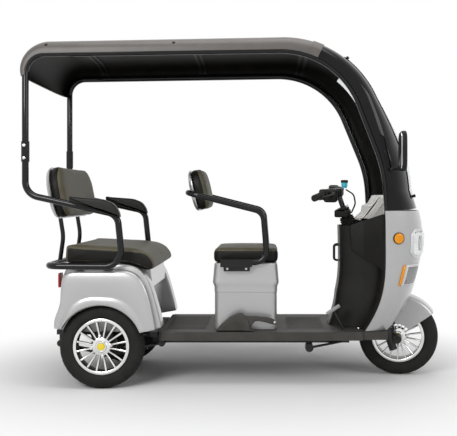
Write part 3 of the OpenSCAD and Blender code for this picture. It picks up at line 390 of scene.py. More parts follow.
def fender_part(wall=4.0):
    """Grid from the arch, an arc of its radius, to the outline, a superellipse that is squarer
    behind than in front; each column is a share of that way, a rise past it and a distance in."""
    tail = np.pi - np.arcsin((np.linspace(94, 176, 8) / (fender_top - tyre_r)) ** 4.5)
    t = np.concatenate([tail, np.radians(np.linspace(178, 1.4, 72))])
    a = np.radians(np.linspace(153, 21, len(t)))
    power = np.where(t < np.pi / 2, 2 / 5, 2 / 9)
    high = (fender_top - tyre_r) * np.sin(t) ** power
    ahead = 275 - 0.18 * (high - 75)
    behind = 193 + 30 * smooth((230 - high) / 110)
    outline = np.stack([np.where(t < np.pi / 2, ahead, behind) * spow(np.cos(t), power), high], -1)
    arch = arch_r * np.stack([np.cos(a), np.sin(a)], -1)
    way = outline - arch
    share, rise, inset = fender_cols.T[:, None, :, None]
    out = way / np.linalg.norm(way, axis=1, keepdims=True) * smooth((outline[:, :1] + 195) / 60)
    flat = arch[:, None] + way[:, None] * share + out[:, None] * rise
    grid = np.concatenate([rear_x + flat[..., :1], inset - fender_hw + 0 * flat[..., :1],
                           tyre_r + flat[..., 1:]], -1)
    facing = np.cross(np.gradient(grid, axis=0), np.gradient(grid, axis=1))
    facing /= np.linalg.norm(facing, axis=-1, keepdims=True)
    return grid, grid - wall * facing


def mirrored(part):
    """The part's image across the middle plane."""
    return part[0] * np.array([1, -1, 1]), part[1]


def paired(parts):
    """Parts with their finishes, and the mirror image of each."""
    return parts + [(*mirrored((points, cells)), finish) for points, cells, finish in parts]


def rounded(made, level=2):
    """Subdivision over a piece's grid, the same in every view."""
    soft = made.modifiers.new("soft", "SUBSURF")
    soft.levels = soft.render_levels = level
    return made


fender_points, (fender_cells, *fender_rest) = slab(*fender_part())
groove_columns, fender_wide = (15, 16), len(fender_cols) - 1
groove = np.tile(np.isin(np.arange(fender_wide), groove_columns), len(fender_cells) // fender_wide)
groove_black = grained("groove_black", (0.01, 0.01, 0.01), (0.016, 0.016, 0.016), (0.5, 0.7),
                       lift=0.01)
fender_parts = [(fender_points, [fender_cells[~groove], *fender_rest], silver_paint),
                (fender_points, [fender_cells[groove]], groove_black)]
rounded(piece("fender_skins", paired(fender_parts), "chassis", ["fenders"], 70), 1)
dress("bench_box", silver_paint)


# Tail lamps
# Upright red lenses with a moulded grid, screwed to the rear of each fender.
def capped(rows, columns):
    """Faces of a tube of points stored ring by ring, with one face over each end."""
    end = np.arange(columns)[None]
    return [lattice(rows, columns, False, True), end, end + (rows - 1) * columns]


def pillow(low, high, square=0.3, rows=25, columns=48):
    """Rounded block between two corners: a superellipsoid whose power tells how boxy it is."""
    low, high = np.asarray(low, float), np.asarray(high, float)
    v = np.linspace(-np.pi / 2, np.pi / 2, rows)[1:-1, None]
    u = np.linspace(-np.pi, np.pi, columns, endpoint=False)[None]
    ball = [spow(np.cos(v), square) * spow(np.cos(u), square),
            spow(np.cos(v), square) * spow(np.sin(u), square), spow(np.sin(v), square) + 0 * u]
    points = (low + high) / 2 + np.stack(ball, -1) * (high - low) / 2
    return points.reshape(-1, 3), capped(rows - 2, columns)


lens_red = grained("lens_red", (0.24, 0.004, 0.003), (0.34, 0.008, 0.005), (0.12, 0.25), grain=3,
                   lift=0.3, Specular_IOR_Level=0.3)
lamp_low, lamp_high = span("tail_lamps")
lamp_low[1], lamp_high[1] = -354, -302
lamp = pillow(lamp_low, lamp_high, 0.22)
piece("tail_lenses", [(*lamp, lens_red), (*mirrored(lamp), lens_red)], "chassis", ["tail_lamps"])


# Bench cushion
# Foam on a board under a sewn leatherette cover: a taupe top that rolls down over the front edge,
# black side panels, and a seam between them. It lifts with its lid.
def leatherette(name, face, side):
    """Sewn cover in two tones parted at the seam attribute, which is the distance past the seam in
    millimetres; small cells give the pressed grain and a slow noise the wear."""
    material, tree, shader, place = new_finish(name)
    cells = shader_node(tree, "TexVoronoi", {"feature": "DISTANCE_TO_EDGE"}, Vector=place,
                        Scale=1 / (2.6 * MM))
    wear = shader_node(tree, "TexNoise", Vector=place, Scale=1 / (90 * MM), Detail=5).outputs["Fac"]
    tones = [ramp(tree, wear, 0.88 * np.array(tone), 1.1 * np.array(tone), (0.35, 0.7))
             for tone in (face, side)]
    past = shader_node(tree, "Attribute", {"attribute_name": "seam"})
    edge = shader_node(tree, "MapRange", Value=past.outputs["Fac"], From_Min=-0.6, From_Max=0.6)
    both = shader_node(tree, "Mix", {"data_type": "RGBA"}, Factor=edge.outputs["Result"],
                       A=tones[0], B=tones[1])
    shine = shader_node(tree, "MapRange", Value=wear, To_Min=0.42, To_Max=0.6)
    bump = shader_node(tree, "Bump", Strength=0.35, Distance=0.3 * MM,
                       Height=cells.outputs["Distance"])
    fed(tree, shader, Base_Color=both.outputs["Result"], Roughness=shine.outputs["Result"],
        Normal=bump.outputs["Normal"], Specular_IOR_Level=0.18)
    return material


def bolster(outline, half_width, edge, stations=9):
    """Closed outline in X and Z carried across Y, drawn in along its own normals towards both ends
    so that the side edges are quarter rounds."""
    ahead = np.roll(outline, -1, 0)
    run = ahead - np.roll(outline, 1, 0)
    out = np.stack([run[:, 1], -run[:, 0]], -1) / np.linalg.norm(run, axis=1, keepdims=True)
    out *= np.sign(np.sum(outline[:, 0] * ahead[:, 1] - outline[:, 1] * ahead[:, 0]))
    bend = np.radians(np.linspace(90, 0, 6))
    ends = -half_width + edge - edge * np.sin(bend)
    pull = edge * (1 - np.cos(bend))
    y = np.concatenate([ends, np.linspace(-half_width + edge, half_width - edge, stations)[1:-1],
                        -ends[::-1]])
    inset = np.concatenate([pull, np.zeros(stations - 2), pull[::-1]])
    flat = outline[None] - out[None] * inset[:, None, None]
    points = np.stack([flat[..., 0], y[:, None] + 0 * flat[..., 0], flat[..., 1]], -1)
    return points.reshape(-1, 3), capped(len(y), len(outline))


def arc(corner, before, after, bend, turn):
    """Points of an arc of a radius that touches the straights before and after a corner."""
    angle = math.acos(np.clip(before @ after, -1, 1))
    inward = after - before * (before @ after)
    inward /= max(np.linalg.norm(inward), 1e-9)
    t = np.linspace(0, angle, 2 + int(math.degrees(angle) / turn))[:, None]
    return (corner - before * bend * math.tan(angle / 2) + bend * np.sin(t) * before
            + bend * (1 - np.cos(t)) * inward)


def loop(corners, bends, turn=10):
    """Closed line through corners, each rounded to its own radius."""
    corners = np.asarray(corners, float)
    run = np.roll(corners, -1, 0) - corners
    run /= np.linalg.norm(run, axis=1, keepdims=True)
    before = np.roll(run, 1, 0)
    return np.concatenate([arc(*each, turn) for each in zip(corners, before, run, bends)])


def puffed(made, voxel, cap, pressure=4.0, frames=20):
    """Foam swelling its cover: the shape is remeshed in even cells and blown up as cloth with no
    weight for a few frames, and no point moves more than the cap."""
    even = made.modifiers.new("even", "REMESH")
    even.mode = "VOXEL"
    even.voxel_size = voxel * MM
    ease = made.modifiers.new("ease", "SMOOTH")
    ease.factor, ease.iterations = 0.5, 6
    finish = made.data.materials[0]
    bpy.context.view_layer.update()
    graph = bpy.context.evaluated_depsgraph_get()
    mesh = bpy.data.meshes.new_from_object(made.evaluated_get(graph))
    made.modifiers.clear()
    made.data = mesh
    mesh.materials.clear()
    mesh.materials.append(finish)
    start = np.empty(len(mesh.vertices) * 3)
    mesh.vertices.foreach_get("co", start)
    cloth = made.modifiers.new("cover", "CLOTH")
    cloth.settings.use_pressure = True
    cloth.settings.uniform_pressure_force = pressure
    cloth.settings.effector_weights.gravity = 0
    cloth.settings.quality = 4
    cloth.point_cache.frame_start, cloth.point_cache.frame_end = 1, frames
    for number in range(1, frames + 1):
        bpy.context.scene.frame_set(number)
    blown = made.evaluated_get(bpy.context.evaluated_depsgraph_get()).to_mesh()
    moved = np.empty_like(start)
    blown.vertices.foreach_get("co", moved)
    made.modifiers.clear()
    bpy.context.scene.frame_set(1)
    step = (moved - start).reshape(-1, 3)
    far = np.linalg.norm(step, axis=1, keepdims=True)
    step *= np.minimum(1, cap * MM / np.maximum(far, 1e-9))
    mesh.vertices.foreach_set("co", (start.reshape(-1, 3) + step).ravel())
    mesh.shade_smooth()
    mesh.update()
    return made


def sew(made, past, depth=2.2, width=5.0):
    """Mark the distance past the seam at every point, and press a groove along the seam."""
    mesh = made.data
    size = len(mesh.vertices)
    place, facing = np.empty(size * 3), np.empty(size * 3)
    mesh.vertices.foreach_get("co", place)
    mesh.vertex_normals.foreach_get("vector", facing)
    place, facing = place.reshape(-1, 3) / MM, facing.reshape(-1, 3)
    distance = past(place)
    place -= facing * depth * np.exp(-(distance[:, None] / width) ** 2)
    mesh.vertices.foreach_set("co", (place * MM).ravel())
    mesh.attributes.new("seam", "FLOAT", "POINT").data.foreach_set("value", distance)
    mesh.update()
    return rounded(made, 1)


taupe, cover_black = (0.104, 0.094, 0.063), (0.006, 0.0056, 0.0046)
two_tone = leatherette("two_tone_leatherette", taupe, cover_black)


def drawn(points, fine=5):
    """Closed smooth line through points: each span is a cubic whose slopes join its neighbours."""
    p = np.asarray(points, float)
    a, b, c, d = (np.roll(p, k, 0)[:, None] for k in (1, 0, -1, -2))
    t = np.linspace(0, 1, fine, endpoint=False)[None, :, None]
    curl = 2 * a - 5 * b + 4 * c - d + t * (3 * (b - c) + d - a)
    return (b + 0.5 * t * (c - a + t * curl)).reshape(-1, 2)


seat_hw, lid_z = 341.0, fender_top + 23
seat_line = drawn([
    (-176, 5), (-164, 2), (-60, 2), (60, 2), (115, 1.5), (155, -6), (198, -22), (230, -33),
    (245, -34), (256, -27), (260, -10), (255, 6), (245, 23), (229, 41), (205, 55), (180, 64),
    (113, 74), (0, 80), (-120, 85), (-164, 86), (-177, 80), (-180, 45), (-180, 15)])
seat_line = seat_line + (rear_x, lid_z)
bench_seat = piece("bench_seat", [(*bolster(seat_line, seat_hw, 16), two_tone)], "bench_lid",
                   ["bench_cushion"], 80)
seam_in, black_rise = 6, 9


def seat_seam(p):
    """The black side panels, and the black underside up to a little above the lower line."""
    low = np.interp(p[:, 0] - rear_x, (60, 115, 155, 198, 230), (2, 1.5, -6, -22, -33)) + lid_z
    return np.maximum(np.abs(p[:, 1]) - seat_hw + seam_in, low + black_rise - p[:, 2])


sew(puffed(bench_seat, 6, 5), seat_seam)


# Bench backrest
# A shallow silver shell at the back and a foam pad in front of it, its black border sewn to a taupe
# face. Two bent tubes carry it from the rear bar.
def dome(half_width, height, corner, rows, upper=None):
    """Upright pad: a rounded rectangle in Y and Z, its upper corners rounder if asked, drawn in by
    each row's inset at that row's depth along X, with level caps on the first and the last row."""
    upper = upper or corner
    outline = loop([(-half_width, 0), (half_width, 0), (half_width, height), (-half_width, height)],
                   [corner, corner, upper, upper], 6)
    inset, depth = np.asarray(rows, float).T[:, :, None]
    y = outline[None, :, 0] * (1 - inset / half_width)
    z = height / 2 + (outline[None, :, 1] - height / 2) * (1 - 2 * inset / height)
    points = np.stack([depth + 0 * y, y, z], -1)
    return points.reshape(-1, 3), capped(len(rows), len(outline))


def leaned(part, x, z, lean):
    """A part leaned back about its foot line and set there."""
    return placed(part, (x, 0, z), about((0, 1, 0), -lean))


def local_depth(p, x, z, lean):
    """Distance of points in front of a leaned pad's back plane, and their height up it."""
    a = math.radians(lean)
    return ((p[:, 0] - x) * math.cos(a) + (p[:, 2] - z) * math.sin(a),
            (p[:, 2] - z) * math.cos(a) - (p[:, 0] - x) * math.sin(a))


bench_back = dict(x=rear_x - 224, z=829, lean=10.6)
bench_rows = [(110, 5), (40, 5), (8, 6), (2, 9), (0, 16), (0, 40), (4, 50), (12, 56), (26, 59.5),
              (60, 62), (100, 63)]
bench_dome = leaned(dome(347, 259, 84, bench_rows, 112), **bench_back)
bench_pad = piece("bench_backrest", [(*bench_dome, two_tone)], "chassis", ["bench_back_pad"], 80)
bench_border = 44
sew(puffed(bench_pad, 6, 5), lambda p: bench_border - local_depth(p, **bench_back)[0])
shell_silver = grained("shell_silver", (0.43, 0.43, 0.43), (0.46, 0.46, 0.455), (0.22, 0.27),
                       grain=1.5, lift=0.01, Metallic=0.7)
shell_rows = [(110, -22), (60, -21), (24, -18), (8, -12), (1, -3), (0, 3.6), (3, 4.2), (90, 4.2)]
bench_shell = leaned(dome(349, 259, 86, shell_rows, 114), **bench_back)
piece("bench_back_cover", [(*bench_shell, shell_silver)], "chassis", ["bench_back_shell"], 50)


# Rear tubes and armrests
# Bent steel tube in gloss black: the armrest hoops rise into the roof posts through bolted sleeves,
# and moulded black pads are pushed over the armrests.
tube_black = grained("tube_black", (0.005, 0.005, 0.005), (0.008, 0.008, 0.008), (0.07, 0.13),
                     grain=3, lift=0.01, Specular_IOR_Level=0.3)
for node in ("armrest_frames", "rear_bar", "roof_rails"):
    dress(node, tube_black)
zinc = grained("zinc", (0.55, 0.55, 0.54), (0.68, 0.68, 0.67), (0.22, 0.36), grain=1.0, lift=0.01,
               Metallic=1.0)


def aimed(part, at, direction):
    """A part built along Y, turned so that Y points a way, and moved to a place."""
    d = np.asarray(direction, float) / np.linalg.norm(direction)
    side = np.cross(d, (0.31, 0.2, 0.93))
    side /= np.linalg.norm(side)
    return placed(part, at, np.stack([side, d, np.cross(side, d)], -1))


def bolt(at, direction, radius=6.0, high=5.0):
    """Domed bolt head on a washer, standing on a place and facing a way."""
    section = [(0.6, high), (radius * 0.55, high * 0.9), (radius * 0.9, high * 0.45),
               (radius, 0.12 * high), (radius * 1.35, 0.1 * high), (radius * 1.35, -0.8)]
    return aimed(spun(section, 20), at, direction)


def carried(path, section, size=None):
    """Closed section carried along a path: its columns lie sideways and upwards in a frame that
    turns with the path but not about it; size scales it at each point. Both ends are capped."""
    path, section = np.asarray(path, float), np.asarray(section, float)
    run = np.gradient(path, axis=0)
    run /= np.linalg.norm(run, axis=1, keepdims=True)
    side = np.cross(run, (0.02, 0.03, 1.0))
    side[np.linalg.norm(side, axis=1) < 0.2] = (0.0, 1.0, 0.0)
    for k in range(1, len(path)):
        side[k] = side[k - 1] - run[k] * (side[k - 1] @ run[k])
        side[k] /= np.linalg.norm(side[k])
    side[0] = side[0] - run[0] * (side[0] @ run[0])
    side /= np.linalg.norm(side, axis=1, keepdims=True)
    up = np.cross(side, run)
    size = np.ones(len(path)) if size is None else np.asarray(size, float)
    wide, tall = (size[:, None] * section[None, :, k] for k in (0, 1))
    points = path[:, None] + wide[..., None] * side[:, None] + tall[..., None] * up[:, None]
    return points.reshape(-1, 3), capped(len(path), len(section))


def ring(radius, count=20, square=2.0):
    """Round or squarish section: a superellipse of one radius."""
    a = np.linspace(0, 2 * np.pi, count, endpoint=False)
    return radius * np.stack([spow(np.cos(a), 2 / square), spow(np.sin(a), 2 / square)], -1)


def bent(corners, bends, turn=6):
    """Open line through corners, each inner corner rounded to its own radius."""
    corners = np.asarray(corners, float)
    run = np.diff(corners, axis=0)
    run /= np.linalg.norm(run, axis=1, keepdims=True)
    arcs = [arc(*each, turn) for each in zip(corners[1:-1], run[:-1], run[1:], bends)]
    return np.concatenate([corners[:1], *arcs, corners[-1:]])


def both_sides(part):
    """The part and its mirror image as one part."""
    other = mirrored(part)
    return np.concatenate([part[0], other[0]]), part[1] + [b + len(part[0]) for b in part[1]]


post_x, post_y, sleeve_z = span("armrest_frames")[0][0] + 19.5, 413.4, 1152.0
sleeve_bolts = [bolt((post_x, -post_y - 23, sleeve_z + z), (0, -1, 0), 5, 4) for z in (-30, 30)]
piece("sleeve_bolts", [(*both_sides(b), zinc) for b in sleeve_bolts], "chassis")
moulded_black = grained("moulded_black", (0.008, 0.0078, 0.0068), (0.013, 0.0125, 0.011),
                        (0.34, 0.5), grain=0.8, lift=0.08, Specular_IOR_Level=0.18)
arm_z = 852
arm_line = drawn([
    (-134, 80), (-128, 87), (-110, 84), (-50, 79.5), (17, 74), (45, 66), (76, 51), (98, 22),
    (107, -8), (99, -14), (84, -12), (68, -8), (30, 12), (-25, 25), (-79, 37), (-122, 53),
    (-131, 64)])
arm_pad = placed(bolster(arm_line + (rear_x, arm_z), 25.5, 11), (0, -post_y, 0))
piece("armrest_covers", [(*both_sides(arm_pad), moulded_black)], "chassis", ["armrest_pads"], 60)


# Driver's box, cushion and backrest
# A silver ABS housing over the battery, with a waist band, carries a lidded cushion; a bent tube
# bolted to both sides makes the armrests and holds the small backrest.
# Rows up the outside and down the inside: inset along X, inset along Y, height
box_rows = np.array([
    [4, 4, 270.5], [2, 2, 272.5], [2, 2, 453], [1.4, 1.4, 457], [0, 0, 460], [0, 0, 483],
    [-1, -0.5, 486], [-6.5, -2.2, 501], [-8, -2.6, 505], [-8, -2.6, 511], [-7, -2, 520],
    [-1, 0, 590], [0, 0, 599], [2, 2, 603], [6, 6, 604], [38, 38, 604], [40, 40, 603],
    [40, 40, 599], [6, 6, 598], [5, 5, 596], [5, 5, 271]])
box_hw, box_length = box_high[1] - 6, box_high[0] - box_low[0] - 16


def hollow(half_width, length, corner, rows):
    """Open shell: a rounded rectangle in X and Y drawn in by each row's insets at that row's
    height; the rows run up outside, over the rim and down inside, and close at the foot."""
    outline = loop([(0, -half_width), (length, -half_width), (length, half_width), (0, half_width)],
                   [corner] * 4, 6)
    along, across, high = rows.T[:, :, None]
    x = length / 2 + (outline[:, 0] - length / 2) * (1 - 2 * along / length)
    y = outline[:, 1] * (1 - across / half_width)
    points = np.stack([x, y, high + 0 * x], -1)
    return points.reshape(-1, 3), [lattice(len(rows), len(outline), True, True)]


box_part = placed(hollow(box_hw, box_length, 34, box_rows), (box_low[0] + 8, 0, 0))
box_shell = piece("driver_box_shell", [(*box_part, silver_paint)], "chassis", ["driver_box"], 24)
dress("battery", moulded_black)
dress("driver_hoop", tube_black)
driver_x = 0.5 * (box_low[0] + box_high[0]) + 1
cushion_low, cushion_high = span("driver_cushion")


def seat_block(low, high, corner, edge, crown):
    """Seat cushion: a rounded rectangle in X and Y through rows of inset and height, its top
    crowned towards the middle and its flanks full."""
    half, length = (high - low)[1] / 2, (high - low)[0]
    rows = [(0.62 * half, low[2]), (14, low[2]), (6, low[2] + 1), (2, low[2] + 6), (0, low[2] + 22),
            (0, high[2] - crown - edge), (0.3 * edge, high[2] - crown - 0.3 * edge),
            (edge, high[2] - crown), (0.45 * half, high[2] - 0.3 * crown), (0.62 * half, high[2])]
    upright = np.array([[0, 0, 1], [0, 1, 0], [1, 0, 0]])
    return placed(dome(half, length, corner, rows), (low[0], 0, 0), upright)


seat_part = seat_block(cushion_low + 3, cushion_high - 3, 38, 16, 8)
driver_seat = piece("driver_seat", [(*seat_part, two_tone)], "driver_lid", ["driver_cushion"], 80)
seat_border = 22
sew(puffed(driver_seat, 5, 4), lambda p: cushion_high[2] - seat_border - p[:, 2])
driver_back = dict(x=driver_x - 250, z=864, lean=12.5)
driver_rows = [(80, 7), (30, 7), (6, 8), (1, 12), (0, 20), (0, 44), (5, 56), (14, 63), (30, 68),
               (60, 71), (90, 72)]
driver_dome = leaned(dome(175, 213, 66, driver_rows, 84), **driver_back)
driver_pad = piece("driver_backrest", [(*driver_dome, two_tone)], "chassis",
                   ["driver_back_pad"], 80)


def driver_seam(p):
    """The black border is widest half way up and narrows to the top."""
    depth, high = local_depth(p, **driver_back)
    return 54 - 0.0011 * (high - 95) ** 2 - depth


sew(puffed(driver_pad, 5, 4), driver_seam)
small_rows = [(80, -17), (40, -16), (16, -12), (4, -5), (0, 2), (0, 5.6), (3, 6.2), (70, 6.2)]
driver_shell = leaned(dome(177, 213, 68, small_rows, 86), **driver_back)
piece("driver_back_cover", [(*driver_shell, shell_silver)], "chassis", ["driver_back_shell"], 50)
bracket_bolts = [bolt((driver_x + x, -255, 578), (0, -1, 0), 4, 3) for x in (-92, 2)]
piece("bracket_bolts", [(*both_sides(b), zinc) for b in bracket_bolts], "chassis")


# Parking brake
# A ribbed black housing on the floor beside the box, with a lever and a white thumb button.
button_white = grained("button_white", (0.75, 0.75, 0.73), (0.82, 0.82, 0.8), (0.3, 0.45),
                       lift=0.01)
brake_low, brake_high = span("handbrake")
brake_y = 0.5 * (brake_low[1] + brake_high[1])
brake_hw = 0.5 * (brake_high[1] - brake_low[1])
brake_corner = np.array([brake_low[0], floor_top])
case_line = loop([(0, 0), (186, 0), (186, 7), (168, 10), (163, 34), (157, 55), (143, 73), (133, 86),
                  (117, 92), (99, 87), (68, 73), (40, 48), (15, 27), (1, 8)],
                 [1, 2, 3, 6, 8, 10, 10, 8, 8, 10, 14, 14, 10, 5])
panel_edge = loop([(8, 6), (135, 6), (131, 38), (97, 64), (22, 31)], [3, 3, 5, 8, 6])
brake_lever = loop([(112, 24), (170, 22), (190, 50), (212, 51), (244, 44), (276, 35), (296, 33),
                    (297, 44), (283, 61), (247, 71), (198, 75), (147, 77), (124, 66)],
                   [3, 12, 10, 30, 60, 60, 4, 8, 20, 40, 60, 10, 10])
brake_lines = [(case_line, brake_hw - 5, 5), (panel_edge, brake_hw - 1.5, 3), (brake_lever, 9, 4)]
rib_foot, rib_half = 11, 1.3
for x in np.arange(34, 130, 7.0):
    top = np.interp(x, (22, 97, 131), (31, 64, 38)) - 7
    rib_line = loop([(x - rib_half, rib_foot), (x + rib_half, rib_foot), (x + rib_half, top),
                     (x - rib_half, top)], [0.8] * 4)
    brake_lines.append((rib_line, brake_hw, 0.8))
brake_parts = [(*bolster(line + brake_corner, half, edge), floor_plastic)
               for line, half, edge in brake_lines]
button = aimed(spun([(0.8, 4), (4.5, 3.6), (5.5, 2), (5.5, -4)], 20), (288, -9, 46), (0, -1, 0))
brake_parts.append((*placed(button, (brake_low[0], 0, floor_top)), button_white))
piece("parking_brake", [(*placed((p, c), (0, brake_y, 0)), f) for p, c, f in brake_parts],
      "chassis", ["handbrake"], 40)


# Roof
# Two formed ABS shells lapped in a joint, satin taupe behind and gloss black where it sweeps down
# round a clear windscreen. Knobs hold the pane, and bolts and straps hold the shells to the rails.
def roof_ends(rows, x, z, heading):
    """Place, heading and length at each row's end of a line of straights and arcs."""
    ends = [(x, z, heading, 0.0)]
    for length, turn in rows[:, :2]:
        x, z, a, s = ends[-1]
        t = math.radians(turn)
        bend = length / t if abs(t) > 1e-6 else 0
        if bend:
            x += bend * (math.sin(a + t) - math.sin(a))
            z -= bend * (math.cos(a + t) - math.cos(a))
        else:
            x, z = x + length * math.cos(a), z + length * math.sin(a)
        ends.append((x, z, a + t, s + length))
    return np.array(ends)


roof_x0, roof_rear_z, roof_hw, pillar_hw, roof_t = -1007.0, 1517.0, 435.0, 385.0, 5.0
pillar_x, cowl_top, roof_slope = front_x - 110, 869.0, 0.9
rear_bend, front_bend, front_turn = 92, 410, 69
pillar_run, pillar_arc, pillar_turn = 240, 200, 19
bend_arc = rear_bend * math.radians(90 - roof_slope)
front_arc = front_bend * math.radians(front_turn)


def roof_table(top, foot):
    """Rows of length, turn, height, half width and squareness at the end of each run."""
    bent_at = pillar_run + pillar_arc
    down = bent_at + max(foot, 1)
    wide = [roof_hw + (pillar_hw - roof_hw) * share / down for share in (pillar_run, bent_at)]
    return np.array([[12, 0, 42, roof_hw, 3.5], [bend_arc, roof_slope - 90, 84, roof_hw, 3.5],
                     [top, 0, 88, roof_hw, 3.5], [front_arc, -front_turn, 113, roof_hw, 3.5],
                     [pillar_run, 0, 165, wide[0], 2.05],
                     [pillar_arc, -pillar_turn, 171, wide[1], 2.05],
                     [foot, 0, 190, pillar_hw, 2.4]])


short = roof_ends(roof_table(0, 0), roof_x0, roof_rear_z, math.pi / 2)[-1]
lines = np.radians([roof_slope, roof_slope - (front_turn + pillar_turn)])
roof_runs = np.linalg.solve([np.cos(lines), np.sin(lines)],
                            [pillar_x - short[0], cowl_top + 2 - short[1]])
roof_rows = roof_table(*roof_runs)
roof_line = roof_ends(roof_rows, roof_x0, roof_rear_z, math.pi / 2)
roof_s = roof_line[:, 3]
roof_start = np.array([38, roof_hw, 3.5])


def roof_skin(s, degrees, off=0.0):
    """Roof surface: at each distance along the line a superellipse stands across it, from the right
    lip at 0 to the left lip at 180 degrees, pushed out by an offset."""
    s = np.asarray(s, float)[:, None]
    k = np.clip(np.searchsorted(roof_s, s, "right") - 1, 0, 6)
    start, row = roof_line[k], roof_rows[k]
    far = s - start[..., 3]
    bend = np.radians(row[..., 1]) / row[..., 0]
    a0, a = start[..., 2], start[..., 2] + bend * far
    curved = np.abs(bend) > 1e-9
    safe = np.where(curved, bend, 1)
    x = start[..., 0] + np.where(curved, (np.sin(a) - np.sin(a0)) / safe, far * np.cos(a0))
    z = start[..., 1] + np.where(curved, (np.cos(a0) - np.cos(a)) / safe, far * np.sin(a0))
    tall, wide, square = [np.interp(s, roof_s, np.append(roof_start[c], roof_rows[:, c + 2]))
                          for c in range(3)]
    t = np.radians(np.asarray(degrees, float))[None]
    high = (tall + off) * np.abs(np.sin(t)) ** (2 / square)
    across = -(wide + off) * spow(np.cos(t), 2 / square)
    return np.stack([x - high * np.sin(a), across, z + high * np.cos(a)], -1)


def backed(grid, wall):
    """The grid moved along its own normals by a wall's thickness."""
    facing = np.cross(np.gradient(grid, axis=0), np.gradient(grid, axis=1))
    facing /= np.maximum(np.linalg.norm(facing, axis=-1, keepdims=True), 1e-9)
    return grid + wall * facing


def walls(front, back, outside, inside, keep=None):
    """Closed shell between two grids as parts: outer skin and rim in one finish, inner skin in
    another. Cells outside the keep mask are left open, and every free edge gets a rim."""
    rows, columns = front.shape[:2]
    cells = lattice(rows, columns)
    if keep is not None:
        cells = cells[keep.ravel()]
    edges = np.stack([cells, np.roll(cells, -1, 1)], -1).reshape(-1, 2)
    total = rows * columns
    free = ~np.isin(edges[:, 0] * total + edges[:, 1], edges[:, 1] * total + edges[:, 0])
    a, b = edges[free].T
    rim = np.stack([a, b, b + total, a + total], -1)
    every = np.concatenate([front.reshape(-1, 3), back.reshape(-1, 3)])
    return [(every, [cells, rim], outside), (back.reshape(-1, 3), [cells[:, ::-1]], inside)]


def outward(spot):
    """Direction out of a surface at the first point of a small grid on it."""
    return np.cross(spot[1, 0] - spot[0, 0], spot[0, 1] - spot[0, 0])


roof_taupe = grained("roof_taupe", (0.100, 0.091, 0.084), (0.120, 0.109, 0.101), (0.34, 0.44),
                     grain=1.0, lift=0.03, Specular_IOR_Level=0.3)
roof_inner = grained("roof_inner", (0.006, 0.006, 0.0048), (0.010, 0.0095, 0.008), (0.4, 0.56),
                     grain=1.4, lift=0.06, Specular_IOR_Level=0.1)
gloss_black = grained("gloss_black", (0.004, 0.004, 0.005), (0.007, 0.007, 0.007), (0.05, 0.1),
                      grain=6, lift=0.0, Specular_IOR_Level=0.2)
lip = np.concatenate([np.linspace(0, 30, 19), np.linspace(30, 150, 45)[1:-1],
                      np.linspace(150, 180, 19)])
roof_joint = roof_s[3] + 0.35 * front_arc


def sampled(*stops):
    """Distances from stop to stop in the given counts, without repeats."""
    return np.unique(np.concatenate([np.linspace(a, b, n) for a, b, n in stops]))


rear_s = sampled((0, roof_s[1], 3), (roof_s[1], roof_s[2], 25), (roof_s[2], roof_s[3], 30),
                 (roof_s[3], roof_joint, 15))
rear_skin = roof_skin(rear_s, lip)
strip = roof_skin(np.linspace(roof_joint - 30, roof_joint + 16, 12), lip, 4.4)
piece("roof_rear_shell", walls(rear_skin, backed(rear_skin, -roof_t), roof_taupe, roof_inner)
      + walls(strip, backed(strip, -4), roof_taupe, roof_inner), "chassis", ["roof_rear"], 50)
screen_s0, screen_s1 = roof_s[3] + 0.62 * front_arc, roof_s[6] + 20
front_s = sampled((roof_joint + 1, screen_s0, 15), (screen_s0, roof_s[4], 15),
                  (roof_s[4], roof_s[5], 15), (roof_s[5], roof_s[6], 18), (roof_s[6], screen_s1, 4),
                  (screen_s1, roof_s[7], 4))
post = np.concatenate([np.linspace(0, 50, 26), np.linspace(50, 130, 33)[1:-1],
                       np.linspace(130, 180, 26)])
front_skin = roof_skin(front_s, post)
middle_s, middle_t = 0.5 * (front_s[1:] + front_s[:-1])[:, None], 0.5 * (post[1:] + post[:-1])[None]
frame_keep = (middle_s < screen_s0) | (middle_s > screen_s1) | (np.abs(middle_t - 90) > 40)
front_back = backed(front_skin, -roof_t)
piece("roof_front_shell", walls(front_skin, front_back, gloss_black, roof_inner, frame_keep),
      "chassis", ["roof_front"], 50)

clear_screen = grained("clear_screen", (0.93, 0.96, 0.96), (0.95, 0.97, 0.97), (0.015, 0.03),
                       grain=8, lift=0.0, Transmission_Weight=1.0, IOR=1.2)
screen_lift, screen_t, screen_lap = 3.8, 3.5, 22
screen_s = sampled((screen_s0 - screen_lap, roof_s[4], 16), (roof_s[4], roof_s[5], 15),
                   (roof_s[5], roof_s[6], 18), (roof_s[6], screen_s1 + screen_lap, 5))
screen_skin = roof_skin(screen_s, np.linspace(46, 134, 45), screen_lift)
screen_back = backed(screen_skin, -screen_t)
piece("windscreen_pane", walls(screen_skin, screen_back, clear_screen, clear_screen), "chassis",
      ["windscreen"], 50)
knob = [(0.8, 13), (7, 12), (9, 8), (6.5, 4), (6.5, -3)]
knobs, roof_bolts, strap_parts = [], [], []
for s, degrees in [(screen_s0 - 12, 90), (screen_s0 - 12, 60), (screen_s0 - 12, 120),
                   (screen_s1 + 12, 56), (screen_s1 + 12, 124)]:
    spot = roof_skin([s, s + 2], [degrees, degrees + 1], screen_lift)
    knobs.append((*aimed(spun(knob, 20), spot[0, 0], outward(spot)), moulded_black))
piece("screen_knobs", knobs, "chassis")
for degrees in (16, 164):
    for s in (roof_s[2] + 12, roof_s[2] + 620):
        spot = roof_skin([s, s + 2], [degrees, degrees + 1])
        roof_bolts.append((*bolt(spot[0, 0], outward(spot), 6, 4), moulded_black))
piece("roof_bolts", roof_bolts, "chassis")
strap_wide, strap_t, strap_gap = 17, 3.2, 1.6
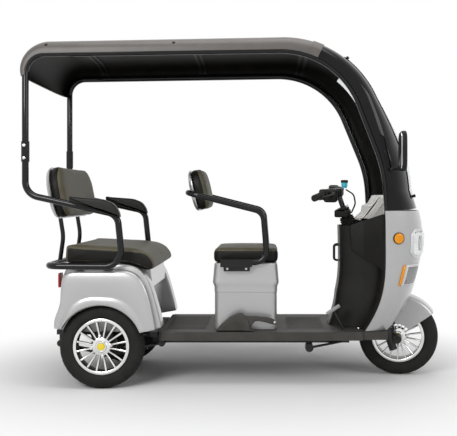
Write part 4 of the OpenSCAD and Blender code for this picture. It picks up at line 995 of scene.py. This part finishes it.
for s in (roof_s[2] + 0.1 * roof_runs[0], roof_s[2] + 0.61 * roof_runs[0], roof_joint - 55):
    for shift in (-22, 5):
        band = roof_skin(np.linspace(s + shift, s + shift + strap_wide, 3), np.linspace(5, 175, 80),
                         -roof_t - strap_gap)
        strap_parts += walls(band, backed(band, -strap_t), moulded_black, moulded_black)
piece("roof_bands", strap_parts, "chassis", ["roof_straps"])


# Front cowl and lamps
# One silver ABS moulding wraps the front from floor to windscreen, open over the wheel. Twin clear
# headlamps, smoked lower lamps with amber strips and round amber reflectors are set on its corners.
# Rows of height, then rear edge and front from the wheel's axle with the half width between them
cowl_rows = np.array([
    [271, -207, 276, -10], [340, -172, 306, 24], [420, -141, 336, 50], [500, -125, 356, 75],
    [580, -120, 369, 94], [650, -118, 377, 107], [725, -120, 384, 115], [800, -122, 390, 109],
    [869, -124, 393, 93]])
arch_top, arch_hw, cowl_square = 500.0, 240.0, 2.3


def curve_at(table, column, v):
    """Smooth value of a table's column: a polynomial of the fifth degree fitted to all its rows."""
    return np.polynomial.Polynomial.fit(table[:, 0], table[:, column], 5)(v)


def cowl_section(z):
    """Rear edge, half width and front of the cowl at a height."""
    rear, wide, ahead = (curve_at(cowl_rows, column, z) for column in (1, 2, 3))
    return front_x + rear, wide, front_x + ahead


def cowl_skin(z, share):
    """Cowl surface: a superellipse in plan from the rear edge round to the middle, or to the edge
    of the wheel arch below the arch's top."""
    z = np.asarray(z, float)[:, None]
    rear, wide, ahead = cowl_section(z)
    low = np.clip((z - floor_top) / (arch_top - floor_top), 0, 1)
    edge = np.maximum(1, arch_hw * (1 - low ** 3) ** (1 / 3))
    a = np.arccos(np.minimum(edge / wide, 1) ** 1.15) * np.atleast_2d(np.asarray(share, float))
    x = rear + (ahead - rear) * np.sin(a) ** (2 / cowl_square)
    return np.stack([x, -wide * np.cos(a) ** (2 / cowl_square), z + 0 * a], -1)


arch_count, half_count = 34, 44
cowl_z = np.concatenate([np.linspace(floor_top + 2.5, arch_top - 6, arch_count),
                         np.linspace(arch_top, cowl_top, 50)])
half = cowl_skin(cowl_z, np.linspace(0, 1, half_count) ** 1.1)
whole = np.concatenate([half, half[:, ::-1] * np.array([1, -1, 1])], 1)
cowl_keep = np.ones((len(cowl_z) - 1, whole.shape[1] - 1), bool)
cowl_keep[:arch_count - 1, half_count - 1] = False
cowl_back = np.ascontiguousarray(backed(whole, 4))
piece("cowl_shell", walls(whole, cowl_back, silver_paint, silver_paint, cowl_keep), "chassis",
      ["front_cowl"], 50)
lens_amber = grained("lens_amber", (0.78, 0.25, 0.004), (0.86, 0.33, 0.01), (0.12, 0.25), grain=4,
                     lift=0.35, Specular_IOR_Level=0.3)
spot = cowl_skin([736, 740], [0.145, 0.155])
disc = [(0.8, 9), (14, 8.6), (22, 7.4), (25, 5), (26, 1), (26, -1)]
collar = [(25.5, -1), (25.5, 3), (27, 4), (29, 2.5), (29.5, -1)]
reflector, bezel = (aimed(spun(section, 48, closed), spot[0, 0], -outward(spot))
                    for section, closed in ((disc, False), (collar, True)))
rim_lift = 3


def lens_parts(rows, lift, outside, inside, edge=None):
    """Lens on the cowl between rows of height, first and last share: it swells from the rim to its
    lift as one less the sixth power of the way out; a border of cells can take another finish."""
    rows = np.asarray(rows, float)
    z, u = np.linspace(rows[0, 0], rows[-1, 0], 31), np.linspace(0, 1, 33)[None]
    first, last = [np.interp(z, rows[:, 0], rows[:, k])[:, None] for k in (1, 2)]
    base = cowl_skin(z, first + (last - first) * u)
    far = np.linspace(-1, 1, 31)[:, None]
    swell = (1 - far ** 6) * (1 - (2 * u - 1) ** 6)
    front = backed(base, -1) - base
    front = base + front * (rim_lift + (lift - rim_lift) * swell)[..., None]
    back = backed(base, -0.6)
    border = np.ones((30, 32), bool)
    border[3:-3, 3:-3] = False
    if edge is None:
        return paired(walls(front, back, outside, inside))
    return paired(walls(front, back, outside, inside, ~border)
                  + walls(front, back, edge, edge, border))


lens_clear = grained("lens_clear", (0.93, 0.94, 0.95), (0.96, 0.97, 0.97), (0.04, 0.07), grain=6,
                     lift=0.0, Transmission_Weight=0.9, IOR=1.35)
chrome = grained("chrome", (0.80, 0.80, 0.81), (0.88, 0.88, 0.88), (0.04, 0.09), grain=5, lift=0.0,
                 Metallic=1.0)
lamp_smoke = grained("lamp_smoke", (0.20, 0.20, 0.20), (0.26, 0.26, 0.26), (0.12, 0.2), grain=4,
                     lift=0.0, Metallic=0.8)
bezel_white = grained("bezel_white", (0.62, 0.63, 0.63), (0.7, 0.71, 0.71), (0.2, 0.3), grain=2,
                      lift=0.01)
upper = [(636, 0.42, 0.62), (664, 0.33, 0.71), (752, 0.33, 0.72), (780, 0.42, 0.64)]
slot = [(672, 0.5, 0.56), (680, 0.49, 0.57), (738, 0.49, 0.57), (746, 0.5, 0.56)]
lower = [(501, 0.24, 0.55), (525, 0.245, 0.57), (585, 0.27, 0.6), (606, 0.28, 0.6)]
amber = [(503, 0.2, 0.23), (555, 0.215, 0.248), (604, 0.235, 0.268)]
piece("head_lamps", lens_parts(upper, 14, lens_clear, chrome, bezel_white)
      + lens_parts(slot, 16, bezel_white, bezel_white)
      + lens_parts(lower, 11, lens_clear, lamp_smoke, silver_light), "chassis", ["headlamp"])
piece("reflectors", [(*both_sides(reflector), lens_amber), (*both_sides(bezel), moulded_black)]
      + lens_parts(amber, 10, lens_amber, lens_amber), "chassis", ["front_lamps"])


# Leg shield and dash
# A black moulded panel behind the cowl with a steering tunnel, two deep pockets and a bag hook, a
# tray on top, a light grey instrument hood, and a steel brake pedal on the floor.
pocket_rows = np.array([[0, 0], [14, 10], [150, 84], [262, 136], [400, 150]])
shield_shoulder, shield_top = 670, 788


def shield_skin(z, share):
    """Panel: the cowl's rear edge less the deeper of a rounded tunnel and a pocket on each side
    with two flat faces and a sloping floor; its top edge rises towards both sides."""
    z, share = np.asarray(z, float)[:, None], np.asarray(share, float)[None]
    y = share * (cowl_section(z)[1] - 1)
    w = np.abs(y)
    top = shield_top + 0.24 * np.maximum(w - 110, 0)
    stretch = (z - shield_shoulder) / (shield_top - shield_shoulder) * (top - shield_shoulder)
    z = np.where(z > shield_shoulder, shield_shoulder + stretch, z + 0 * y)
    rear, wide, ahead = cowl_section(z)
    tunnel = (160 + 30 * np.clip((z - 270) / 170, 0, 1)) * (1 - smooth((w - 50) / 150))
    pocket = np.interp(wide - 4 - w, *pocket_rows.T) * smooth((z - 558 - 0.3 * (350 - w)) / 36)
    return np.stack([rear - np.maximum(tunnel, pocket) - 1.2, y, z], -1)


shield_z = np.concatenate([np.linspace(floor_top + 1.5, 550, 36),
                           np.linspace(553, shield_shoulder, 60), np.linspace(676, shield_top, 20)])
shield_front = shield_skin(shield_z, np.linspace(-1, 1, 201))
shield_back = backed(shield_front, 4)
piece("leg_shield_panel", walls(shield_front, shield_back, moulded_black, moulded_black), "chassis",
      ["leg_shield"], 40)
hook_low, hook_high = span("bag_hook")
hook_path = bent([(hook_high[0], 0, hook_high[2] - 5), (hook_low[0] + 6, 0, hook_high[2] - 8),
                  (hook_low[0] + 6, 0, hook_low[2] + 8), (hook_high[0], 0, hook_low[2] + 5)],
                 [12, 12])
hook = carried(hook_path, ring(7, 18, 2.6), np.linspace(1.1, 0.8, len(hook_path)))
piece("hook", [(*hook, moulded_black)], "chassis", ["bag_hook"])
dress("dash", moulded_black)
hood_grey = grained("hood_grey", (0.62, 0.61, 0.57), (0.70, 0.69, 0.65), (0.3, 0.42), grain=1.0,
                    lift=0.03)
hood_low = span("instrument_hood")[0]
hood_at = (hood_low[0] + 38, hood_low[2])
hood_line = loop([(0, 0), (118, 0), (118, 176), (58, 176), (32, 132), (2, 121), (-4, 86), (-38, 56),
                  (-38, 44), (0, 44)], [3, 3, 10, 8, 8, 6, 8, 3, 3, 3]) + hood_at
panel_line = loop([(82, 1), (117, 1), (117, 175), (82, 175)], [3, 3, 10, 10]) + hood_at
switch = pillow(hood_low * (1, 0, 1) + (4, -112, 53), hood_low * (1, 0, 1) + (20, -96, 66), 0.5)
piece("dash_hood", [(*bolster(hood_line, 124, 12), hood_grey),
                    (*bolster(panel_line, 126, 10), silver_paint), (*switch, lens_amber)],
      "chassis", ["instrument_hood"], 40)
pedal_steel = grained("pedal_steel", (0.16, 0.16, 0.155), (0.24, 0.24, 0.235), (0.3, 0.45),
                      grain=1.5, lift=0.05, Metallic=0.7)
pedal_y, pedal_lean = -215, 33
pedal_pad = placed(pillow((-40, -31, -5), (40, 31, 5), 0.2), (front_x - 360, pedal_y, 369),
                   about((0, 1, 0), -pedal_lean))
pedal_path = np.linspace((front_x - 310, pedal_y, floor_top + 4), (front_x - 357, pedal_y, 362), 6)
piece("foot_brake", [(*pedal_pad, pedal_steel), (*carried(pedal_path, ring(8, 18)), powder_black)],
      "chassis", ["brake_pedal"])


# Mirrors
# Moulded black heads with a plated glass, each on a short steel stalk that is screwed by a round
# foot to the windscreen surround.
mirror_at = np.array([front_x - 53, -478, 1152])
mirror_half = np.array([14, 56, 94])
mirror_head = pillow(mirror_at - mirror_half, mirror_at + mirror_half, 0.42, 33, 64)
glass_edge = loop([(-48, -86), (48, -86), (48, 86), (-48, 86)], [34] * 4)
glass_rim = np.stack([0 * glass_edge[:, 0], glass_edge[:, 0], glass_edge[:, 1]], -1) + mirror_at
mirror_glass = (np.concatenate([glass_rim - (14.6, 0, 0), glass_rim - (10, 0, 0)]),
                capped(2, len(glass_rim)))
root_s = roof_s[5] + 0.52 * pillar_arc
root = roof_skin([root_s, root_s + 2], [12, 13])
root_out = outward(root)
root_out /= np.linalg.norm(root_out)
stalk = carried(np.linspace(root[0, 0] + root_out * 2, mirror_at + (0, 12, -80), 8), ring(6, 18))
stalk_foot = aimed(spun([(1, 10), (10, 9), (14, 5), (14, 0.4), (1, 0.4)], 32), root[0, 0], root_out)
cuffs = np.stack([np.array([17, 16, 17, 16, 17, 16, 17, 16, 14]), np.linspace(-16, 16, 9)], -1)
socket = aimed(spun([(1, -17), *cuffs, (1, 17)], 32), mirror_at + (4, 40, -74), root_out)
piece("mirror_heads", [(*both_sides(part), moulded_black)
                       for part in (mirror_head, stalk, stalk_foot, socket)]
      + [(*both_sides(mirror_glass), chrome)], "chassis", ["mirrors"], 40)


# Steering
# Fork and fender with the steerer in the frame's head, a ribbed rubber boot under a moulded cover,
# and a swept bar with grips, switch pods, levers and a fluid tank with two hoses. It stands turned.
for node, finish in (("fork", powder_black), ("handlebar", tube_black), ("grips", tyre_rubber),
                     ("front_fender", silver_paint)):
    dress(node, finish)
steer_lean = math.tan(math.radians(rake))


def on_steering(z):
    """Point of the steering axis at a height."""
    return np.array([steer_foot[0] + (steer_foot[2] - z) * steer_lean, 0, z])


boot_section = [(16, 0), (36, 0), (43, 5), (36.5, 10.5), (42, 15.5), (35.5, 21), (41, 26),
                (35, 31.5), (40, 36.5), (34, 42), (38, 46), (34, 49), (16, 49)]
boot_z, cover_z = 787, 849
boot = aimed(spun(boot_section, 64, True), on_steering(boot_z), (-steer_lean, 0, 1))
boot_cover = placed(pillow((-54, -50, -19), (28, 50, 21), 0.3), on_steering(cover_z))
piece("steering_boot", [(*steered(boot), tyre_rubber), (*steered(boot_cover), moulded_black)],
      "steering", ["bellows"], 50)
fender_bolt = bolt((front_x - 22, -56, tyre_r + 76), (0, -1, 0), 7, 5)
piece("fender_bolts", [(*steered(both_sides(fender_bolt)), powder_black)], "steering")
bar_z = 962.0
bar_x = on_steering(bar_z)[0]
grip_end = np.array([bar_x - 77, -330, bar_z - 10])
grip_root = np.array([bar_x - 40, -178, bar_z + 4])
grip_run = (grip_root - grip_end) / np.linalg.norm(grip_root - grip_end)
pod_at = grip_end + grip_run * 134
pod = pillow(pod_at - (27, 22, 30), pod_at + (28, 24, 25), 0.4)
switch_box = pillow((bar_x - 60, -142, bar_z - 46), (bar_x + 12, -92, bar_z + 24), 0.38)
lever_path = bent([pod_at + (26, 6, 4), pod_at + (52, -18, 2), grip_end + (40, 6, 0),
                   grip_end + (30, -2, -4)], [16, 80])
hand_lever = carried(lever_path, ring(6.5, 16, 2.4), np.linspace(1.2, 0.8, len(lever_path)))
clamp = pillow((bar_x - 26, -58, bar_z - 22), (bar_x + 28, 58, bar_z + 22), 0.35)
bar_parts = [both_sides(part) for part in (pod, switch_box, hand_lever)] + [clamp]
piece("bar_controls", [(*steered(part), moulded_black) for part in bar_parts], "steering")
band_cyan = grained("band_cyan", (0.02, 0.42, 0.55), (0.05, 0.55, 0.68), (0.15, 0.3), lift=0.01,
                    Coat_Weight=0.4)
tank_section = [(1, -8), (12, -8), (13, 0), (16.5, 3), (16.5, 21), (13, 22), (1, 22)]
lid_section = [(1, 21), (18, 21), (19, 23), (19, 31), (17, 34), (1, 35)]
reservoir_at = np.array([549.0, -84, 990])
tank, lid = (aimed(spun(section, 40), reservoir_at, (0, 0, 1))
             for section in (tank_section, lid_section))
piece("brake_reservoir", [(*tank, band_cyan), (*lid, moulded_black)], "steering")
cable_path = bent([(558, -70, 975), (600, -64, 950), (612, -40, 900), (592, -20, 852)], [40, 60])
piece("bar_cables", [(*carried(cable_path + (0, y, 0), ring(3.5, 12)), moulded_black)
                     for y in (0, 11)], "steering")


# Stage
# Plain pale floor that fades to a white surround, with soft studio light from above and both sides.
scene = bpy.context.scene
scene.view_settings.view_transform = "Standard"


def mixed(tree, share, first, second):
    """Two shaders mixed by the share of the second."""
    mix = shader_node(tree, "MixShader", Fac=share)
    tree.links.new(first, mix.inputs[1])
    tree.links.new(second, mix.inputs[2])
    return mix.outputs["Shader"]


def white_seen(tree, base, white):
    """Mix that shows white to camera, mirror and glass rays and the base shader to all others."""
    path = shader_node(tree, "LightPath").outputs
    seen = path["Is Camera Ray"]
    for kind in ("Is Glossy Ray", "Is Transmission Ray"):
        either = shader_node(tree, "Math", {"operation": "MAXIMUM"})
        tree.links.new(seen, either.inputs[0])
        tree.links.new(path[kind], either.inputs[1])
        seen = either.outputs[0]
    return mixed(tree, seen, base, white)


world = bpy.data.worlds.new("surround")
scene.world = world
world.use_nodes = True
tree = world.node_tree
plain_white = (1, 1, 1, 1)
dim = fed(tree, tree.nodes["Background"], Color=plain_white, Strength=0.18)
white = shader_node(tree, "Background", Color=plain_white, Strength=1.0)
shown = white_seen(tree, dim.outputs["Background"], white.outputs["Background"])
tree.links.new(shown, tree.nodes["World Output"].inputs["Surface"])

floor_mesh = bpy.data.meshes.new("studio_floor")
reach = 30.0
floor_mesh.from_pydata([(-reach, -reach, 0), (reach, -reach, 0), (reach, reach, 0),
                        (-reach, reach, 0)], [], [(0, 1, 2, 3)])
studio_floor = bpy.data.objects.new("studio_floor", floor_mesh)
scene.collection.objects.link(studio_floor)
floor_look, tree, matte, place = new_finish("studio_floor")
fed(tree, matte, Base_Color=(0.93, 0.93, 0.93, 1), Roughness=0.9)
glow = shader_node(tree, "Emission", Color=plain_white)
seen = white_seen(tree, matte.outputs["BSDF"], glow.outputs["Emission"])
radius = shader_node(tree, "VectorMath", {"operation": "LENGTH"})
tree.links.new(place, radius.inputs[0])
fade = shader_node(tree, "MapRange", {"interpolation_type": "SMOOTHSTEP"},
                   Value=radius.outputs["Value"], From_Min=0.7, From_Max=2.0)
blend = mixed(tree, fade.outputs["Result"], matte.outputs["BSDF"], seen)
tree.links.new(blend, tree.nodes["Material Output"].inputs["Surface"])
floor_mesh.materials.append(floor_look)


def softbox(name, at, aim, size, power):
    """Square area lamp at a place, facing a point."""
    lamp = bpy.data.lights.new(name, "AREA")
    lamp.size, lamp.energy = size, power
    made = bpy.data.objects.new(name, lamp)
    scene.collection.objects.link(made)
    from_at = np.array(at) - np.array(aim)
    made.location = at
    made.rotation_euler = (math.atan2(math.hypot(*from_at[:2]), from_at[2]), 0,
                           math.atan2(from_at[1], from_at[0]) + math.pi / 2)


softbox("top_light", (0.2, -0.6, 4.2), (0, 0, 0.8), 3.0, 75)
softbox("key_light", (-1.8, -3.8, 2.6), (0, 0, 0.8), 1.8, 105)
softbox("front_light", (3.4, -2.0, 2.4), (0.2, 0, 0.9), 1.6, 36)

camera = bpy.data.cameras.new("camera")
camera.sensor_fit = "HORIZONTAL"
camera.sensor_width = 36.0
frame_px = np.array([457, 436])
focus_px, centre_px = 780.0, np.array([270, 197])
camera.lens = focus_px / frame_px[0] * camera.sensor_width
camera.shift_x = (frame_px[0] / 2 - centre_px[0]) / frame_px[0]
camera.shift_y = (centre_px[1] - frame_px[1] / 2) / frame_px[0]
camera_object = bpy.data.objects.new("camera", camera)
scene.collection.objects.link(camera_object)
camera_object.location = (0.162, -4.140, 0.936)
camera_object.rotation_euler = (math.pi / 2, 0, 0)
scene.camera = camera_object
